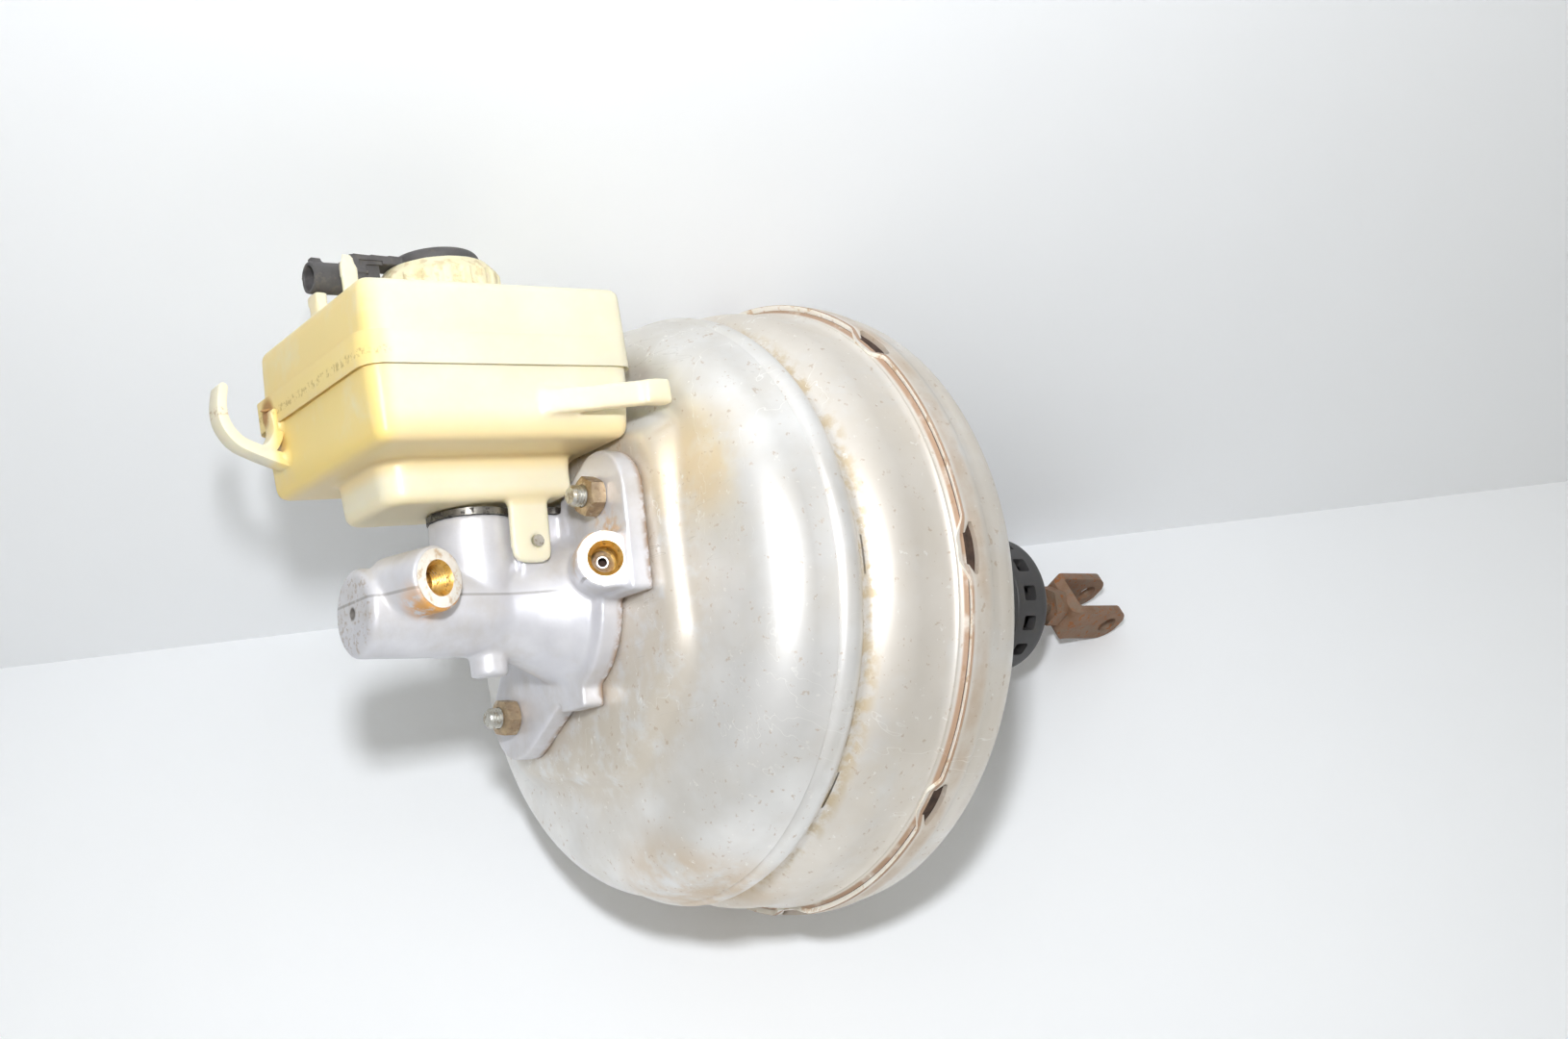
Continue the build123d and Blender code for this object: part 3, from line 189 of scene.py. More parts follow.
# Directions for the slabs below: along the booster, straight up, and up and forward on the tilted tank
alongX, alongZ, tankUp, tankFore = (1, 0, 0), (0, 0, 1), (-0.0732, 0, 0.9973), (-0.9973, 0, -0.0732)
looks = {
    # deep-drawn steel under aluminium paint: light silver, beige road dirt behind the bead and fine rust, and a brown
    # line at the rim's crease that is partly painted shade
    "shell_steel": {
        "base": ("#dcdbd9", "#ebeae8"), "size": 34, "rough": (0.40, 0.30), "metal": 0.6, "grain": 1.2, "relief": 0.25,
        "depth": 0.05,
        "layers": [
            {"size": 34, "level": 0.52, "soft": 0.16, "colour": "#c9bfae", "rough": 0.48, "metal": 0.5,
             "amount": 0.3},
            {"size": 30, "level": 0.36, "soft": 0.16, "colour": "#d8cbb8", "rough": 0.46, "metal": 0.45,
             "amount": 0.45, "places": [("slab", alongX, -108, -92)]},
            {"size": 9, "level": 0.42, "soft": 0.14, "colour": "#c9baa2", "rough": 0.55, "metal": 0.3, "amount": 0.5,
             "places": [("tube", (0, 0, 0), 84, 66), ("slab", alongX, -132, -138)]},
            {"size": 20, "level": 0.4, "soft": 0.16, "colour": "#dbc291", "rough": 0.45, "metal": 0.4, "amount": 0.6,
             "places": [("ball", (-140, -74, 41), 30, 10)]},
            {"size": 16, "level": 0.45, "soft": 0.16, "colour": "#c9a878", "rough": 0.55, "metal": 0.3,
             "amount": 0.55, "places": [("ball", (-118, -20, -112), 42, 16)]},
            {"size": 7, "level": 0.5, "soft": 0.1, "colour": "#b79c62", "rough": 0.7, "metal": 0.1, "amount": 0.6,
             "places": [("slab", alongX, -104, -101), ("slab", alongX, -93, -97)]},
            {"size": 3.0, "level": 0.66, "soft": 0.03, "colour": "#a98a63", "rough": 0.7, "metal": 0.2,
             "amount": 0.4},
            {"size": 3.4, "level": 0.68, "soft": 0.02, "colour": "#f5f3ee", "rough": 0.35, "metal": 0.4,
             "amount": 0.6},
            {"size": 50, "level": 0.5, "line": 0.003, "stretch": (0.25, 2.2, 1), "turn": (0.4, 0.2, 0.9),
             "colour": "#fbfaf6", "rough": 0.3, "amount": 0.7},
            {"size": 46, "level": 0.52, "line": 0.003, "stretch": (1, 0.2, 2.4), "turn": (0.9, 0.1, 0.3),
             "colour": "#958f86", "rough": 0.5, "amount": 0.4, "places": [("slab", alongX, -112, -118)]},
            # rust-brown line in the crease in front of the rear shell's rim: rust, and partly painted shade in that
            # crease
            {"size": 11, "level": 0.34, "soft": 0.16, "colour": "#a0744c", "rough": 0.9, "metal": 0.0, "amount": 0.75,
             "places": [("slab", alongX, -62.2, -61.4), ("slab", alongX, -59.6, -60.2)]},
            {"size": 15, "level": 0.45, "soft": 0.25, "colour": "#b8966f", "rough": 0.7, "metal": 0.2, "amount": 0.45,
             "places": [("slab", alongX, -59.6, -57.4), ("slab", alongX, -50.0, -54.5)]},
        ],
    },
    # plain pressed steel inside the housing
    "inner_steel": {"base": ("#8d8f92", "#a5a7aa"), "size": 14, "rough": (0.38, 0.5), "metal": 1.0, "relief": 0.15},
    # moulded nitrile rubber
    "black_rubber": {"base": ("#141414", "#1f1e1d"), "size": 6, "rough": (0.75, 0.88), "grain": 0.5, "relief": 0.3,
                     "shader": {"IOR": 1.52}},
    # bright zinc plating on rolled threads
    "stud_zinc": {"base": ("#b9b6ad", "#d0cfc9"), "size": 4, "rough": (0.32, 0.45), "metal": 1.0, "grain": 0.6,
                  "layers": [{"size": 2.2, "level": 0.58, "colour": "#8a7a5c", "rough": 0.7, "metal": 0.3,
                              "amount": 0.7}]},
    # yellow-passivated zinc that has gone bronze brown
    "nut_zinc": {"base": ("#bfa988", "#a8937a"), "size": 3, "rough": (0.36, 0.5), "metal": 0.9, "grain": 0.6,
                 "layers": [{"size": 2.0, "level": 0.6, "colour": "#86694a", "rough": 0.8, "metal": 0.2,
                             "amount": 0.5},
                            {"size": 3.0, "level": 0.62, "colour": "#d8cdb8", "rough": 0.5, "amount": 0.6}]},
    # gravity-cast aluminium: pale grey, faintly grained skin
    "cast_aluminium": {
        "base": ("#d2d2d8", "#dddde2"), "size": 14, "rough": (0.38, 0.46), "metal": 0.4, "grain": 1.0, "relief": 0.35,
        "depth": 0.1,
        "layers": [
            {"size": 18, "level": 0.58, "soft": 0.14, "colour": "#bfb8ae", "rough": 0.6, "metal": 0.3, "amount": 0.4},
            {"size": 5, "level": 0.3, "soft": 0.2, "colour": "#77726c", "rough": 0.8, "metal": 0.2, "amount": 0.5,
             "places": [("slab", alongZ, 3.2, 3.6), ("slab", alongZ, 4.6, 4.1), ("slab", alongX, -166, -172)]},
            {"size": 2.5, "level": 0.5, "soft": 0.1, "colour": "#a8835c", "rough": 0.9, "metal": 0.1, "amount": 0.7,
             "places": [("slab", alongZ, -16.6, -17.4), ("slab", alongX, -196, -206)]},
            {"size": 5, "level": 0.5, "soft": 0.1, "colour": "#c9a67c", "rough": 0.85, "metal": 0.1,
             "amount": 0.9, "rise": 0.6, "places": [("ball", (-165, -42, 19), 17, 7)]},
            {"size": 5, "level": 0.42, "soft": 0.12, "colour": "#dc9a30", "rough": 0.6, "metal": 0.1, "amount": 0.9,
             "places": [("ball", (-219, -25, 2), 14, 7)]},
            {"size": 4, "level": 0.45, "soft": 0.1, "colour": "#9c7b56", "rough": 0.85, "metal": 0.1,
             "amount": 0.85, "rise": 0.5, "places": [("slab", alongX, -152.5, -149)]},
            {"size": 2.2, "level": 0.58, "soft": 0.06, "colour": "#a58f76", "rough": 0.8, "metal": 0.2, "amount": 0.5,
             "places": [("slab", (-1, 0, 0), 237.6, 238.5)]},
            # the bottom of the centre dimple painted dark grey: painted shade in the recess
            {"size": 3, "level": 0.2, "soft": 0.1, "colour": "#5f5a55", "rough": 0.8, "metal": 0.2, "amount": 0.9,
             "places": [("ball", (-238, 0, 0), 3.0, 1.8)]},
        ],
    },
    # steel-cased outlet seal
    "outlet_seal": {"base": ("#6b6862", "#8b877f"), "size": 5, "rough": (0.28, 0.42), "metal": 1.0, "grain": 0.6,
                    "layers": [{"size": 2.5, "level": 0.55, "colour": "#2b2825", "rough": 0.8, "metal": 0.1,
                                "amount": 0.9}]},
    # turned steel of the pistons, plunger and output rod
    "machined_steel": {"base": ("#a8a9ab", "#bcbdbe"), "size": 10, "rough": (0.22, 0.3), "metal": 1.0, "relief": 0.1},
    # hard-drawn wire, oiled dark
    "spring_steel": {"base": ("#55585c", "#6a6d70"), "size": 6, "rough": (0.3, 0.42), "metal": 1.0, "relief": 0.1},
    # glass-filled phenolic of the valve body
    "dark_resin": {"base": ("#2a2522", "#352f2a"), "size": 8, "rough": (0.45, 0.58), "grain": 0.6},
    # open filter felt
    "filter_felt": {"base": ("#2e2d2b", "#45433f"), "size": 1.5, "rough": (0.9, 0.98), "grain": 0.5,
                    "relief": 1.0, "depth": 0.5},
    # plain steel rod with patches of rust
    "rod_steel": {"base": ("#8b8378", "#a39b8f"), "size": 8, "rough": (0.4, 0.55), "metal": 0.9,
                  "layers": [{"size": 3, "level": 0.52, "colour": "#7b5a3c", "rough": 0.85, "metal": 0.1,
                              "amount": 0.8}]},
    # bare steel strip under an even coat of brown rust
    "rusty_steel": {"base": ("#84654d", "#937763"), "size": 7, "rough": (0.62, 0.78), "metal": 0.25, "grain": 0.7,
                    "relief": 0.8, "depth": 0.15,
                    "layers": [{"size": 6, "level": 0.56, "soft": 0.05, "colour": "#8a7a6a", "rough": 0.6,
                                "metal": 0.5, "amount": 0.6},
                               {"size": 3, "level": 0.6, "soft": 0.04, "colour": "#a4612a", "rough": 0.9,
                                "amount": 0.7}]},
    # injection-moulded polypropylene, weathered charcoal
    "boot_plastic": {"base": ("#3b3a3b", "#474647"), "size": 12, "rough": (0.48, 0.6), "grain": 0.9, "relief": 0.2,
                     "layers": [{"size": 7, "level": 0.6, "soft": 0.08, "colour": "#55514c", "rough": 0.8,
                                 "amount": 0.4}]},
    # natural translucent polypropylene, yellowed by brake fluid
    "tank_plastic": {
        "base": ("#ece4c8", "#f1ead2"), "size": 30, "rough": (0.32, 0.42), "grain": 1.5, "relief": 0.12, "depth": 0.06,
        "shader": {"IOR": 1.49, "Subsurface Weight": 0.25, "Subsurface Radius": (1.0, 0.75, 0.4),
                   "Subsurface Scale": 0.006},
        "layers": [
            # fluid shows through the lower edge of the tub and the sump's floor
            {"size": 40, "level": 0.16, "soft": 0.2, "colour": "#edcf8e", "rough": 0.36, "amount": 0.7,
             "places": [("slab", tankUp, 79, 69), ("slab", tankUp, 60, 66)]},
            {"size": 40, "level": 0.2, "soft": 0.2, "colour": "#efd493", "rough": 0.36, "amount": 0.4,
             "places": [("slab", tankUp, 57, 51.5), ("slab", tankUp, 48.5, 50.5)]},
            {"size": 26, "level": 0.3, "soft": 0.2, "colour": "#f5d67a", "rough": 0.4, "amount": 0.8,
             "places": [("slab", tankFore, 234, 243), ("slab", tankFore, 250, 246)]},
            {"size": 1.6, "level": 0.55, "soft": 0.08, "colour": "#b3945c", "rough": 0.8, "amount": 0.6,
             "places": [("slab", tankUp, 95.6, 96.6), ("slab", tankUp, 99.6, 98.4),
                        ("slab", tankFore, 234, 240)]},
            {"size": 3, "level": 0.3, "soft": 0.1, "colour": "#9a6a3c", "rough": 0.8, "amount": 0.9,
             "places": [("ball", (-146.0, -37.6, 88.2), 7.5, 4)]},
            {"size": 3, "level": 0.3, "soft": 0.1, "colour": "#a87a4c", "rough": 0.8, "amount": 0.9,
             "places": [("ball", (-254.5, 31.6, 80.3), 7.5, 4)]},
        ],
    },
    # matt black polyamide under dust
    "cap_plastic": {"base": ("#4a4848", "#585657"), "size": 6, "rough": (0.5, 0.65), "grain": 0.6, "relief": 0.3,
                    "layers": [{"size": 3, "level": 0.6, "soft": 0.06, "colour": "#6d675f", "rough": 0.9,
                                "amount": 0.5}]},
    # dull brass blades of the plug
    "terminal_brass": {"base": ("#a98e4e", "#8c7440"), "size": 2, "rough": (0.35, 0.5), "metal": 1.0},
    # the same polypropylene as the tank, less yellowed
    "collar_plastic": {
        "base": ("#efe7c8", "#e9dfb6"), "size": 8, "rough": (0.38, 0.46), "grain": 0.9, "relief": 0.15,
        "shader": {"IOR": 1.49, "Subsurface Weight": 0.2, "Subsurface Radius": (1.0, 0.7, 0.35),
                   "Subsurface Scale": 0.004},
        "layers": [{"size": 4, "level": 0.58, "soft": 0.06, "colour": "#cdb98a", "rough": 0.7, "amount": 0.6}]},
    # closed-cell foam of the level float
    "float_plastic": {"base": ("#e6e2d8", "#d9d4c6"), "size": 6, "rough": (0.5, 0.6), "grain": 0.7},
    # black polyamide of the check valve
    "valve_plastic": {"base": ("#262626", "#333232"), "size": 5, "rough": (0.4, 0.52), "grain": 0.6,
                      "layers": [{"size": 4, "level": 0.6, "soft": 0.08, "colour": "#5b564f", "rough": 0.85,
                                  "amount": 0.5}]},
}

finishes = {name: madeOf(name, look) for name, look in looks.items()}
bareLooks = {
    # turned port face: bright aluminium with fine lathe rings
    "machinedAluminium": {"base": ("#e4e2dd", "#f0efec"), "size": 5, "rough": (0.28, 0.36), "metal": 0.8,
                          "relief": 0.1,
                          "layers": [{"size": 3, "level": 0.6, "soft": 0.1, "colour": "#c8a468", "rough": 0.6,
                                      "amount": 0.6}]},
    # threads wet with old fluid, stained brass yellow
    "stainedThread": {"base": ("#c99a45", "#dcb568"), "size": 3, "rough": (0.34, 0.45), "metal": 0.7, "relief": 0.2,
                      "layers": [{"size": 2, "level": 0.6, "colour": "#7c5423", "rough": 0.8, "metal": 0.1,
                                  "amount": 0.7}]},
    # sheared edge of the sheet, bright where the paint has rubbed off
    # sheared front edge of the rim, painted near white: a painted highlight
    "rimHighlight": {"base": ("#fbf6ea", "#fffdf6"), "size": 12, "rough": (0.38, 0.46), "metal": 0.2, "relief": 0.2,
                    "layers": [{"size": 6, "level": 0.6, "soft": 0.06, "colour": "#c9a477", "rough": 0.7,
                                "amount": 0.7}]},
    # painted shade for open recesses and gaps that no light reaches, dark brown with rust
    "rustyPaintedShade": {"base": ("#4d3a30", "#3a2d26"), "size": 3, "rough": (0.85, 0.95), "grain": 0.6, "relief": 0.8,
                  "depth": 0.2},
}
finishes.update({name: madeOf(name, look) for name, look in bareLooks.items()})
for node, piece in frame["nodes"].items():
    piece.data.materials.clear()
    piece.data.materials.append(finishes[slotOf[node]])
print("materials:", len(finishes))


# Modelling helpers

def finishWith(piece, kind, **settings):
    # One modifier, applied
    pick(piece)
    modifier = piece.modifiers.new(kind.title(), kind)
    for key, value in settings.items():
        setattr(modifier, key, value)
    bpy.ops.object.modifier_apply(modifier=modifier.name)
    return piece


def settle(piece, body, slotName, replaced=(), angle=35):
    # Shading, finish, body and the CAD nodes that a finished piece stands for
    pick(piece)
    bpy.ops.object.transform_apply(location=True, rotation=True, scale=True)
    bpy.ops.object.shade_smooth_by_angle(angle=math.radians(angle))
    if not piece.data.materials:
        piece.data.materials.append(finishes[slotName])
    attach(piece, body)
    if replaced:
        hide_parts(*replaced)
    return piece


def joined(name, pieces):
    deselectAll()
    for piece in pieces:
        piece.select_set(True)
    bpy.context.view_layer.objects.active = pieces[0]
    bpy.ops.object.join()
    piece = bpy.context.object
    piece.name = name
    bpy.ops.object.transform_apply(location=True, rotation=True, scale=True)
    return piece


def edited(piece, step, **settings):
    # One step of edit mode on the whole piece
    pick(piece)
    bpy.ops.object.mode_set(mode="EDIT")
    bpy.ops.mesh.select_all(action="SELECT")
    step(**settings)
    bpy.ops.object.mode_set(mode="OBJECT")


def arcThrough(first, middle, last, count):
    # Points along the arc through three points, without its first point
    (ax, ay), (bx, by), (cx, cy) = first, middle, last
    d = 2 * (ax * (by - cy) + bx * (cy - ay) + cx * (ay - by))
    a2, b2, c2 = ax * ax + ay * ay, bx * bx + by * by, cx * cx + cy * cy
    ux = (a2 * (by - cy) + b2 * (cy - ay) + c2 * (ay - by)) / d
    uy = (a2 * (cx - bx) + b2 * (ax - cx) + c2 * (bx - ax)) / d
    start, halfway, end = (math.atan2(y - uy, x - ux) for x, y in (first, middle, last))
    sweep = sum((turn + math.pi) % (2 * math.pi) - math.pi for turn in (halfway - start, end - halfway))
    radius = math.hypot(ax - ux, ay - uy)
    turns = [start + sweep * (i + 1) / count for i in range(count)]
    return [(ux + radius * math.cos(t), uy + radius * math.sin(t)) for t in turns]


def fine(points, step):
    # The same outline with no stretch longer than step
    out = [points[0]]
    for (x0, r0), (x1, r1) in zip(points, points[1:]):
        count = max(1, round(math.hypot(x1 - x0, r1 - r0) / step))
        out += [(x0 + (x1 - x0) * (i + 1) / count, r0 + (r1 - r0) * (i + 1) / count) for i in range(count)]
    return out


def drawOutline(name, points, closed=False):
    # Chain of edges through (x, z) points, extruded one point at a time
    deselectAll()
    bpy.ops.mesh.primitive_plane_add(size=mm)
    piece = bpy.context.object
    piece.name = name
    bpy.ops.object.mode_set(mode="EDIT")
    bpy.ops.mesh.select_mode(type="VERT")
    bpy.ops.mesh.merge(type="CENTER")
    bpy.ops.transform.translate(value=(points[0][0] * mm, 0, points[0][1] * mm))
    ring = points + points[:1] if closed else points
    for (x0, z0), (x1, z1) in zip(ring, ring[1:]):
        step = ((x1 - x0) * mm, 0, (z1 - z0) * mm)
        bpy.ops.mesh.extrude_region_move(TRANSFORM_OT_translate={"value": step})
    bpy.ops.mesh.select_all(action="SELECT")
    if closed:
        bpy.ops.mesh.remove_doubles(threshold=1e-7)
    return piece


def turnedPiece(name, points, steps, closed=True):
    # Outline of (x, radius) points spun round the X axis
    piece = drawOutline(name, points, closed)
    bpy.ops.mesh.spin(steps=steps, angle=2 * math.pi, center=(0, 0, 0), axis=(1, 0, 0))
    bpy.ops.mesh.select_all(action="SELECT")
    bpy.ops.mesh.remove_doubles(threshold=2e-6)
    bpy.ops.mesh.normals_make_consistent(inside=False)
    bpy.ops.object.mode_set(mode="OBJECT")
    outward = sum(face.normal.dot(face.center * Vector((0, 1, 1))) * face.area for face in piece.data.polygons)
    if not closed and outward < 0:
        edited(piece, bpy.ops.mesh.flip_normals)
    return piece


def prism(name, points, y0, y1):
    # Closed outline of (x, z) points, filled and extruded along Y
    piece = drawOutline(name, points, True)
    bpy.ops.transform.translate(value=(0, y0 * mm, 0))
    bpy.ops.mesh.edge_face_add()
    bpy.ops.mesh.extrude_region_move(TRANSFORM_OT_translate={"value": (0, (y1 - y0) * mm, 0)})
    bpy.ops.mesh.select_all(action="SELECT")
    bpy.ops.mesh.normals_make_consistent(inside=False)
    bpy.ops.object.mode_set(mode="OBJECT")
    return piece


def block(name, centre, size, turn=(0, 0, 0), bevel=0.0):
    deselectAll()
    bpy.ops.mesh.primitive_cube_add(size=mm, location=[c * mm for c in centre], rotation=turn)
    piece = bpy.context.object
    piece.name = name
    piece.scale = size
    bpy.ops.object.transform_apply(location=True, rotation=True, scale=True)
    if bevel:
        finishWith(piece, "BEVEL", width=bevel * mm, segments=3)
    return piece


def post(name, centre, radius, height, turn=(0, 0, 0), sides=48):
    deselectAll()
    bpy.ops.mesh.primitive_cylinder_add(vertices=sides, radius=radius * mm, depth=height * mm,
                                        location=[c * mm for c in centre], rotation=turn)
    piece = bpy.context.object
    piece.name = name
    bpy.ops.object.transform_apply(location=True, rotation=True, scale=True)
    return piece


def carve(piece, cutter, operation="DIFFERENCE"):
    finishWith(piece, "BOOLEAN", operation=operation, object=cutter, solver="EXACT")
    bpy.data.objects.remove(cutter)
    return piece


def softCopy(node, name, voxel, passes):
    # Copy of a CAD solid with the rounded corners that its mould or press gives it
    piece = bpy.data.objects.new(name, frame["nodes"][node].data.copy())
    bpy.context.scene.collection.objects.link(piece)
    edited(piece, bpy.ops.mesh.remove_doubles, threshold=1e-6)
    finishWith(piece, "REMESH", mode="VOXEL", voxel_size=voxel * mm, use_smooth_shade=True)
    finishWith(piece, "SMOOTH", factor=0.5, iterations=passes)
    piece.data.materials.clear()
    return piece


def moveVertices(piece, rule):
    # Moves each vertex to where the rule puts it, in millimetres
    for vertex in piece.data.vertices:
        vertex.co = Vector(rule(*(vertex.co / mm))) * mm
    piece.data.update()


def deleteFaces(piece, rule):
    # Takes out the faces whose middles the rule names
    pick(piece)
    bpy.ops.object.mode_set(mode="EDIT")
    bpy.ops.mesh.select_mode(type="FACE")
    bpy.ops.mesh.select_all(action="DESELECT")
    bpy.ops.object.mode_set(mode="OBJECT")
    for face in piece.data.polygons:
        face.select = rule(*(face.center / mm))
    bpy.ops.object.mode_set(mode="EDIT")
    bpy.ops.mesh.delete(type="FACE")
    bpy.ops.object.mode_set(mode="OBJECT")


def paint(piece, names, rule):
    # Several finishes on one piece: the rule gives the place of each face's finish among the names
    piece.data.materials.clear()
    for name in names:
        piece.data.materials.append(finishes[name])
    for face in piece.data.polygons:
        face.material_index = int(rule(face, *(face.center / mm)))


def softMin(a, b, width):
    # The smaller of two numbers, rounded over where they cross
    blend = min(1.0, max(0.0, 0.5 + 0.5 * (b - a) / width))
    return b + (a - b) * blend - width * blend * (1 - blend)


def softRamp(distance, width):
    # 0 inside and the distance outside, rounded over where it starts
    return width * math.log1p(math.exp(min(distance / width, 40.0)))


# Front shell

frontShell = {
    "steps": 300, "wall": 1.6, "holeRadius": 31.0,
    "seatX": -148.5, "dishX": -144.0, "dishFlat": 60.0, "dishRim": (-137.0, 95.5),
    "seatLineAngle": 136.5, "seatCorners": ((84, 0), (31, 63), (-31, 63), (-84, 0), (-31, -63), (31, -63)),
    "padCentre": (62.2, 62.2), "padX": -142.0, "padRadius": 15.5,
    "dishBack": -118.0, "dishRadius": 108.0, "draftSlope": 1.732, "cornerSharpness": 0.2, "gripX": -60.6,
    "dent": 0.16, "dentSize": 26, "slitAngles": (180, 225, 0, 45), "slitLength": 16.0, "slitX": (-99.3, -98.4),
    "slitRadius": 112,
}


def seatDistance(y, z):
    # Distance outside the six-sided seat, its corners rounded
    turn, sharpness = math.radians(frontShell["seatLineAngle"]), frontShell["cornerSharpness"]
    u, v = y * math.cos(turn) + z * math.sin(turn), z * math.cos(turn) - y * math.sin(turn)
    total = 0.0
    corners = frontShell["seatCorners"]
    for (x0, y0), (x1, y1) in zip(corners, corners[1:] + corners[:1]):
        length = math.hypot(x1 - x0, y1 - y0)
        total += math.exp(sharpness * ((y1 - y0) * (u - x0) - (x1 - x0) * (v - y0)) / length)
    return math.log(total) / sharpness


def pressedFront(x, y, z):
    # Raised seat, valve pad and faint hand dents on the turned dish
    radius, slope = math.hypot(y, z), frontShell["draftSlope"]
    if x < frontShell["dishBack"] and radius < frontShell["dishRadius"]:
        seat = frontShell["seatX"] + slope * softRamp(seatDistance(y, z), 1.5)
        x = softMin(seat, x, 2.4)
        away = math.hypot(y - frontShell["padCentre"][0], z - frontShell["padCentre"][1])
        pad = frontShell["padX"] + slope * softRamp(away - frontShell["padRadius"], 1.0)
        x = max(softMin(pad, x, 1.2), frontShell["seatX"])
    dent = frontShell["dent"] * noise.noise(Vector((x, y, z)) / frontShell["dentSize"]) if radius > 50 else 0.0
    return x + dent * 0.6, y * (1 + dent / radius), z * (1 + dent / radius)


def slitFace(x, y, z):
    # Faces of the short slits pressed through the valley
    if not frontShell["slitX"][0] < x < frontShell["slitX"][1]:
        return False
    angle, half = math.degrees(math.atan2(z, y)), frontShell["slitLength"] / 2
    return any(abs((angle - at + 180) % 360 - 180) * math.pi / 180 * frontShell["slitRadius"] < half
               for at in frontShell["slitAngles"])


s = frontShell
dish = [(s["dishX"], s["holeRadius"]), (s["dishX"], s["dishFlat"]), s["dishRim"]]
outline = fine(dish, 1.6)
outline += arcThrough(outline[-1], (-130.0, 107.0), (-119.0, 112.0), 14)
outline += [(-113.1, 114.42), (-112.3, 113.7), (-111.5, 115.02)]
outline += arcThrough(outline[-1], (-106.5, 116.4), (-101.0, 112.5), 10)
outline += [(-99.7, 112.4), (s["slitX"][0], 112.4), (s["slitX"][1], 112.4), (-97.5, 112.6), (-96.0, 113.6),
            (-94.5, 115.5)]
outline += arcThrough(outline[-1], (-89.0, 119.0), (-79.0, 120.6), 10)
outline += [(-72.0, 120.75), (-67.0, 121.2), (-64.8, 121.9), (-64.2, 122.8), (-63.4, 122.9), (-62.9, 122.4),
            (-61.6, 123.2), (-60.4, 124.3), (-58.6, 124.45), (-52.0, 124.45)]
shellPiece = turnedPiece("frontShellPressing", outline, s["steps"], closed=False)
deleteFaces(shellPiece, slitFace)
moveVertices(shellPiece, pressedFront)
finishWith(shellPiece, "SOLIDIFY", thickness=s["wall"] * mm, offset=-1.0)
# the front shell under the rear shell's rim is painted dark brown: painted shade in the gap between the shells, with
# rust
paint(shellPiece, ("shell_steel", "rustyPaintedShade"), lambda face, x, y, z: x > s["gripX"])
settle(shellPiece, "housing", "shell_steel", ["front_shell"], 40)
print("front shell:", len(shellPiece.data.polygons), "faces")


# Rear shell

rearShell = {
    "steps": 576, "wall": 2.5, "lances": 8, "lanceHalf": 9.6, "push": 2.7, "forward": 2.2,
    "stripBack": -57.5, "slotBack": -56.0, "foot": 3.6, "root": 12.6, "rimRadius": 126.5, "crimpRadius": 120,
    "shutShare": 0.85, "shutEnd": 4.0, "highlightX": -59.4, "dent": 0.15, "dentSize": 24,
}


def lanceShare(y, z):
    # 1 in the middle of a lance, 0 outside it
    pitch = 2 * math.pi / rearShell["lances"]
    angle = math.atan2(z, y) - math.pi / 2
    off = abs((angle + pitch / 2) % pitch - pitch / 2) * rearShell["rimRadius"]
    share = (rearShell["root"] - off) / (rearShell["root"] - rearShell["foot"])
    share = min(1.0, max(0.0, share))
    return share * share * (3 - 2 * share), off


def pressedRear(x, y, z):
    # Lances pressed in over the flange, their slots narrowed, and faint dents on the drum
    radius = math.hypot(y, z)
    share, off = lanceShare(y, z)
    if x < rearShell["stripBack"] + 0.1 and radius > rearShell["crimpRadius"]:
        scale = 1 - rearShell["push"] * share / radius
        return x - rearShell["forward"] * share, y * scale, z * scale
    if x < rearShell["slotBack"] + 0.1 and radius > rearShell["crimpRadius"]:
        # the slot narrows to a point at both ends
        half, gap = rearShell["lanceHalf"], rearShell["slotBack"] - rearShell["stripBack"]
        closed = min(1.0, off / half) ** 2.5 if off < half else max(0.0, 1 - (off - half) / rearShell["shutEnd"])
        return x - gap * rearShell["shutShare"] * closed, y, z
    dented = radius > 60 and x > -47
    dent = rearShell["dent"] * noise.noise(Vector((x, y, z)) / rearShell["dentSize"]) if dented else 0.0
    return x + dent, y * (1 + dent / radius), z * (1 + dent / radius)


s = rearShell
outline = [(-60.9, 126.3), (-60.2, 126.6), (s["stripBack"], 126.6), (s["slotBack"], 126.6), (-52.5, 126.6),
           (-50.5, 126.4), (-49.0, 125.6), (-47.5, 124.9), (-44.0, 124.8), (-41.0, 124.8)]
outline += arcThrough(outline[-1], (-33.4, 121.0), (-29.8, 112.0), 12)
outline += [(-26.0, 103.5), (-20.0, 90.0), (-13.8, 76.0), (-13.0, 74.2), (-11.8, 72.5), (-5.2, 64.4), (-4.0, 63.0),
            (-1.6, 61.3), (0.0, 59.6), (0.0, 50.0), (0.0, 40.0), (0.0, 29.5), (0.6, 28.1), (2.0, 27.5), (20.0, 27.5),
            (40.0, 27.5)]
rearPiece = turnedPiece("rearShellPressing", outline, s["steps"], closed=False)
deleteFaces(rearPiece,
            lambda x, y, z: s["stripBack"] < x < s["slotBack"] and lanceShare(y, z)[1] < s["lanceHalf"])
moveVertices(rearPiece, pressedRear)
finishWith(rearPiece, "SOLIDIFY", thickness=s["wall"] * mm, offset=-1.0)
# the front-facing faces of the rim's sheared edge are painted near white: a painted highlight
paint(rearPiece, ("shell_steel", "rimHighlight"),
      lambda face, x, y, z: x < s["highlightX"] and face.normal.x < -0.6)
settle(rearPiece, "housing", "shell_steel", ["rear_shell"], 40)
print("rear shell:", len(rearPiece.data.polygons), "faces")


# Master cylinder

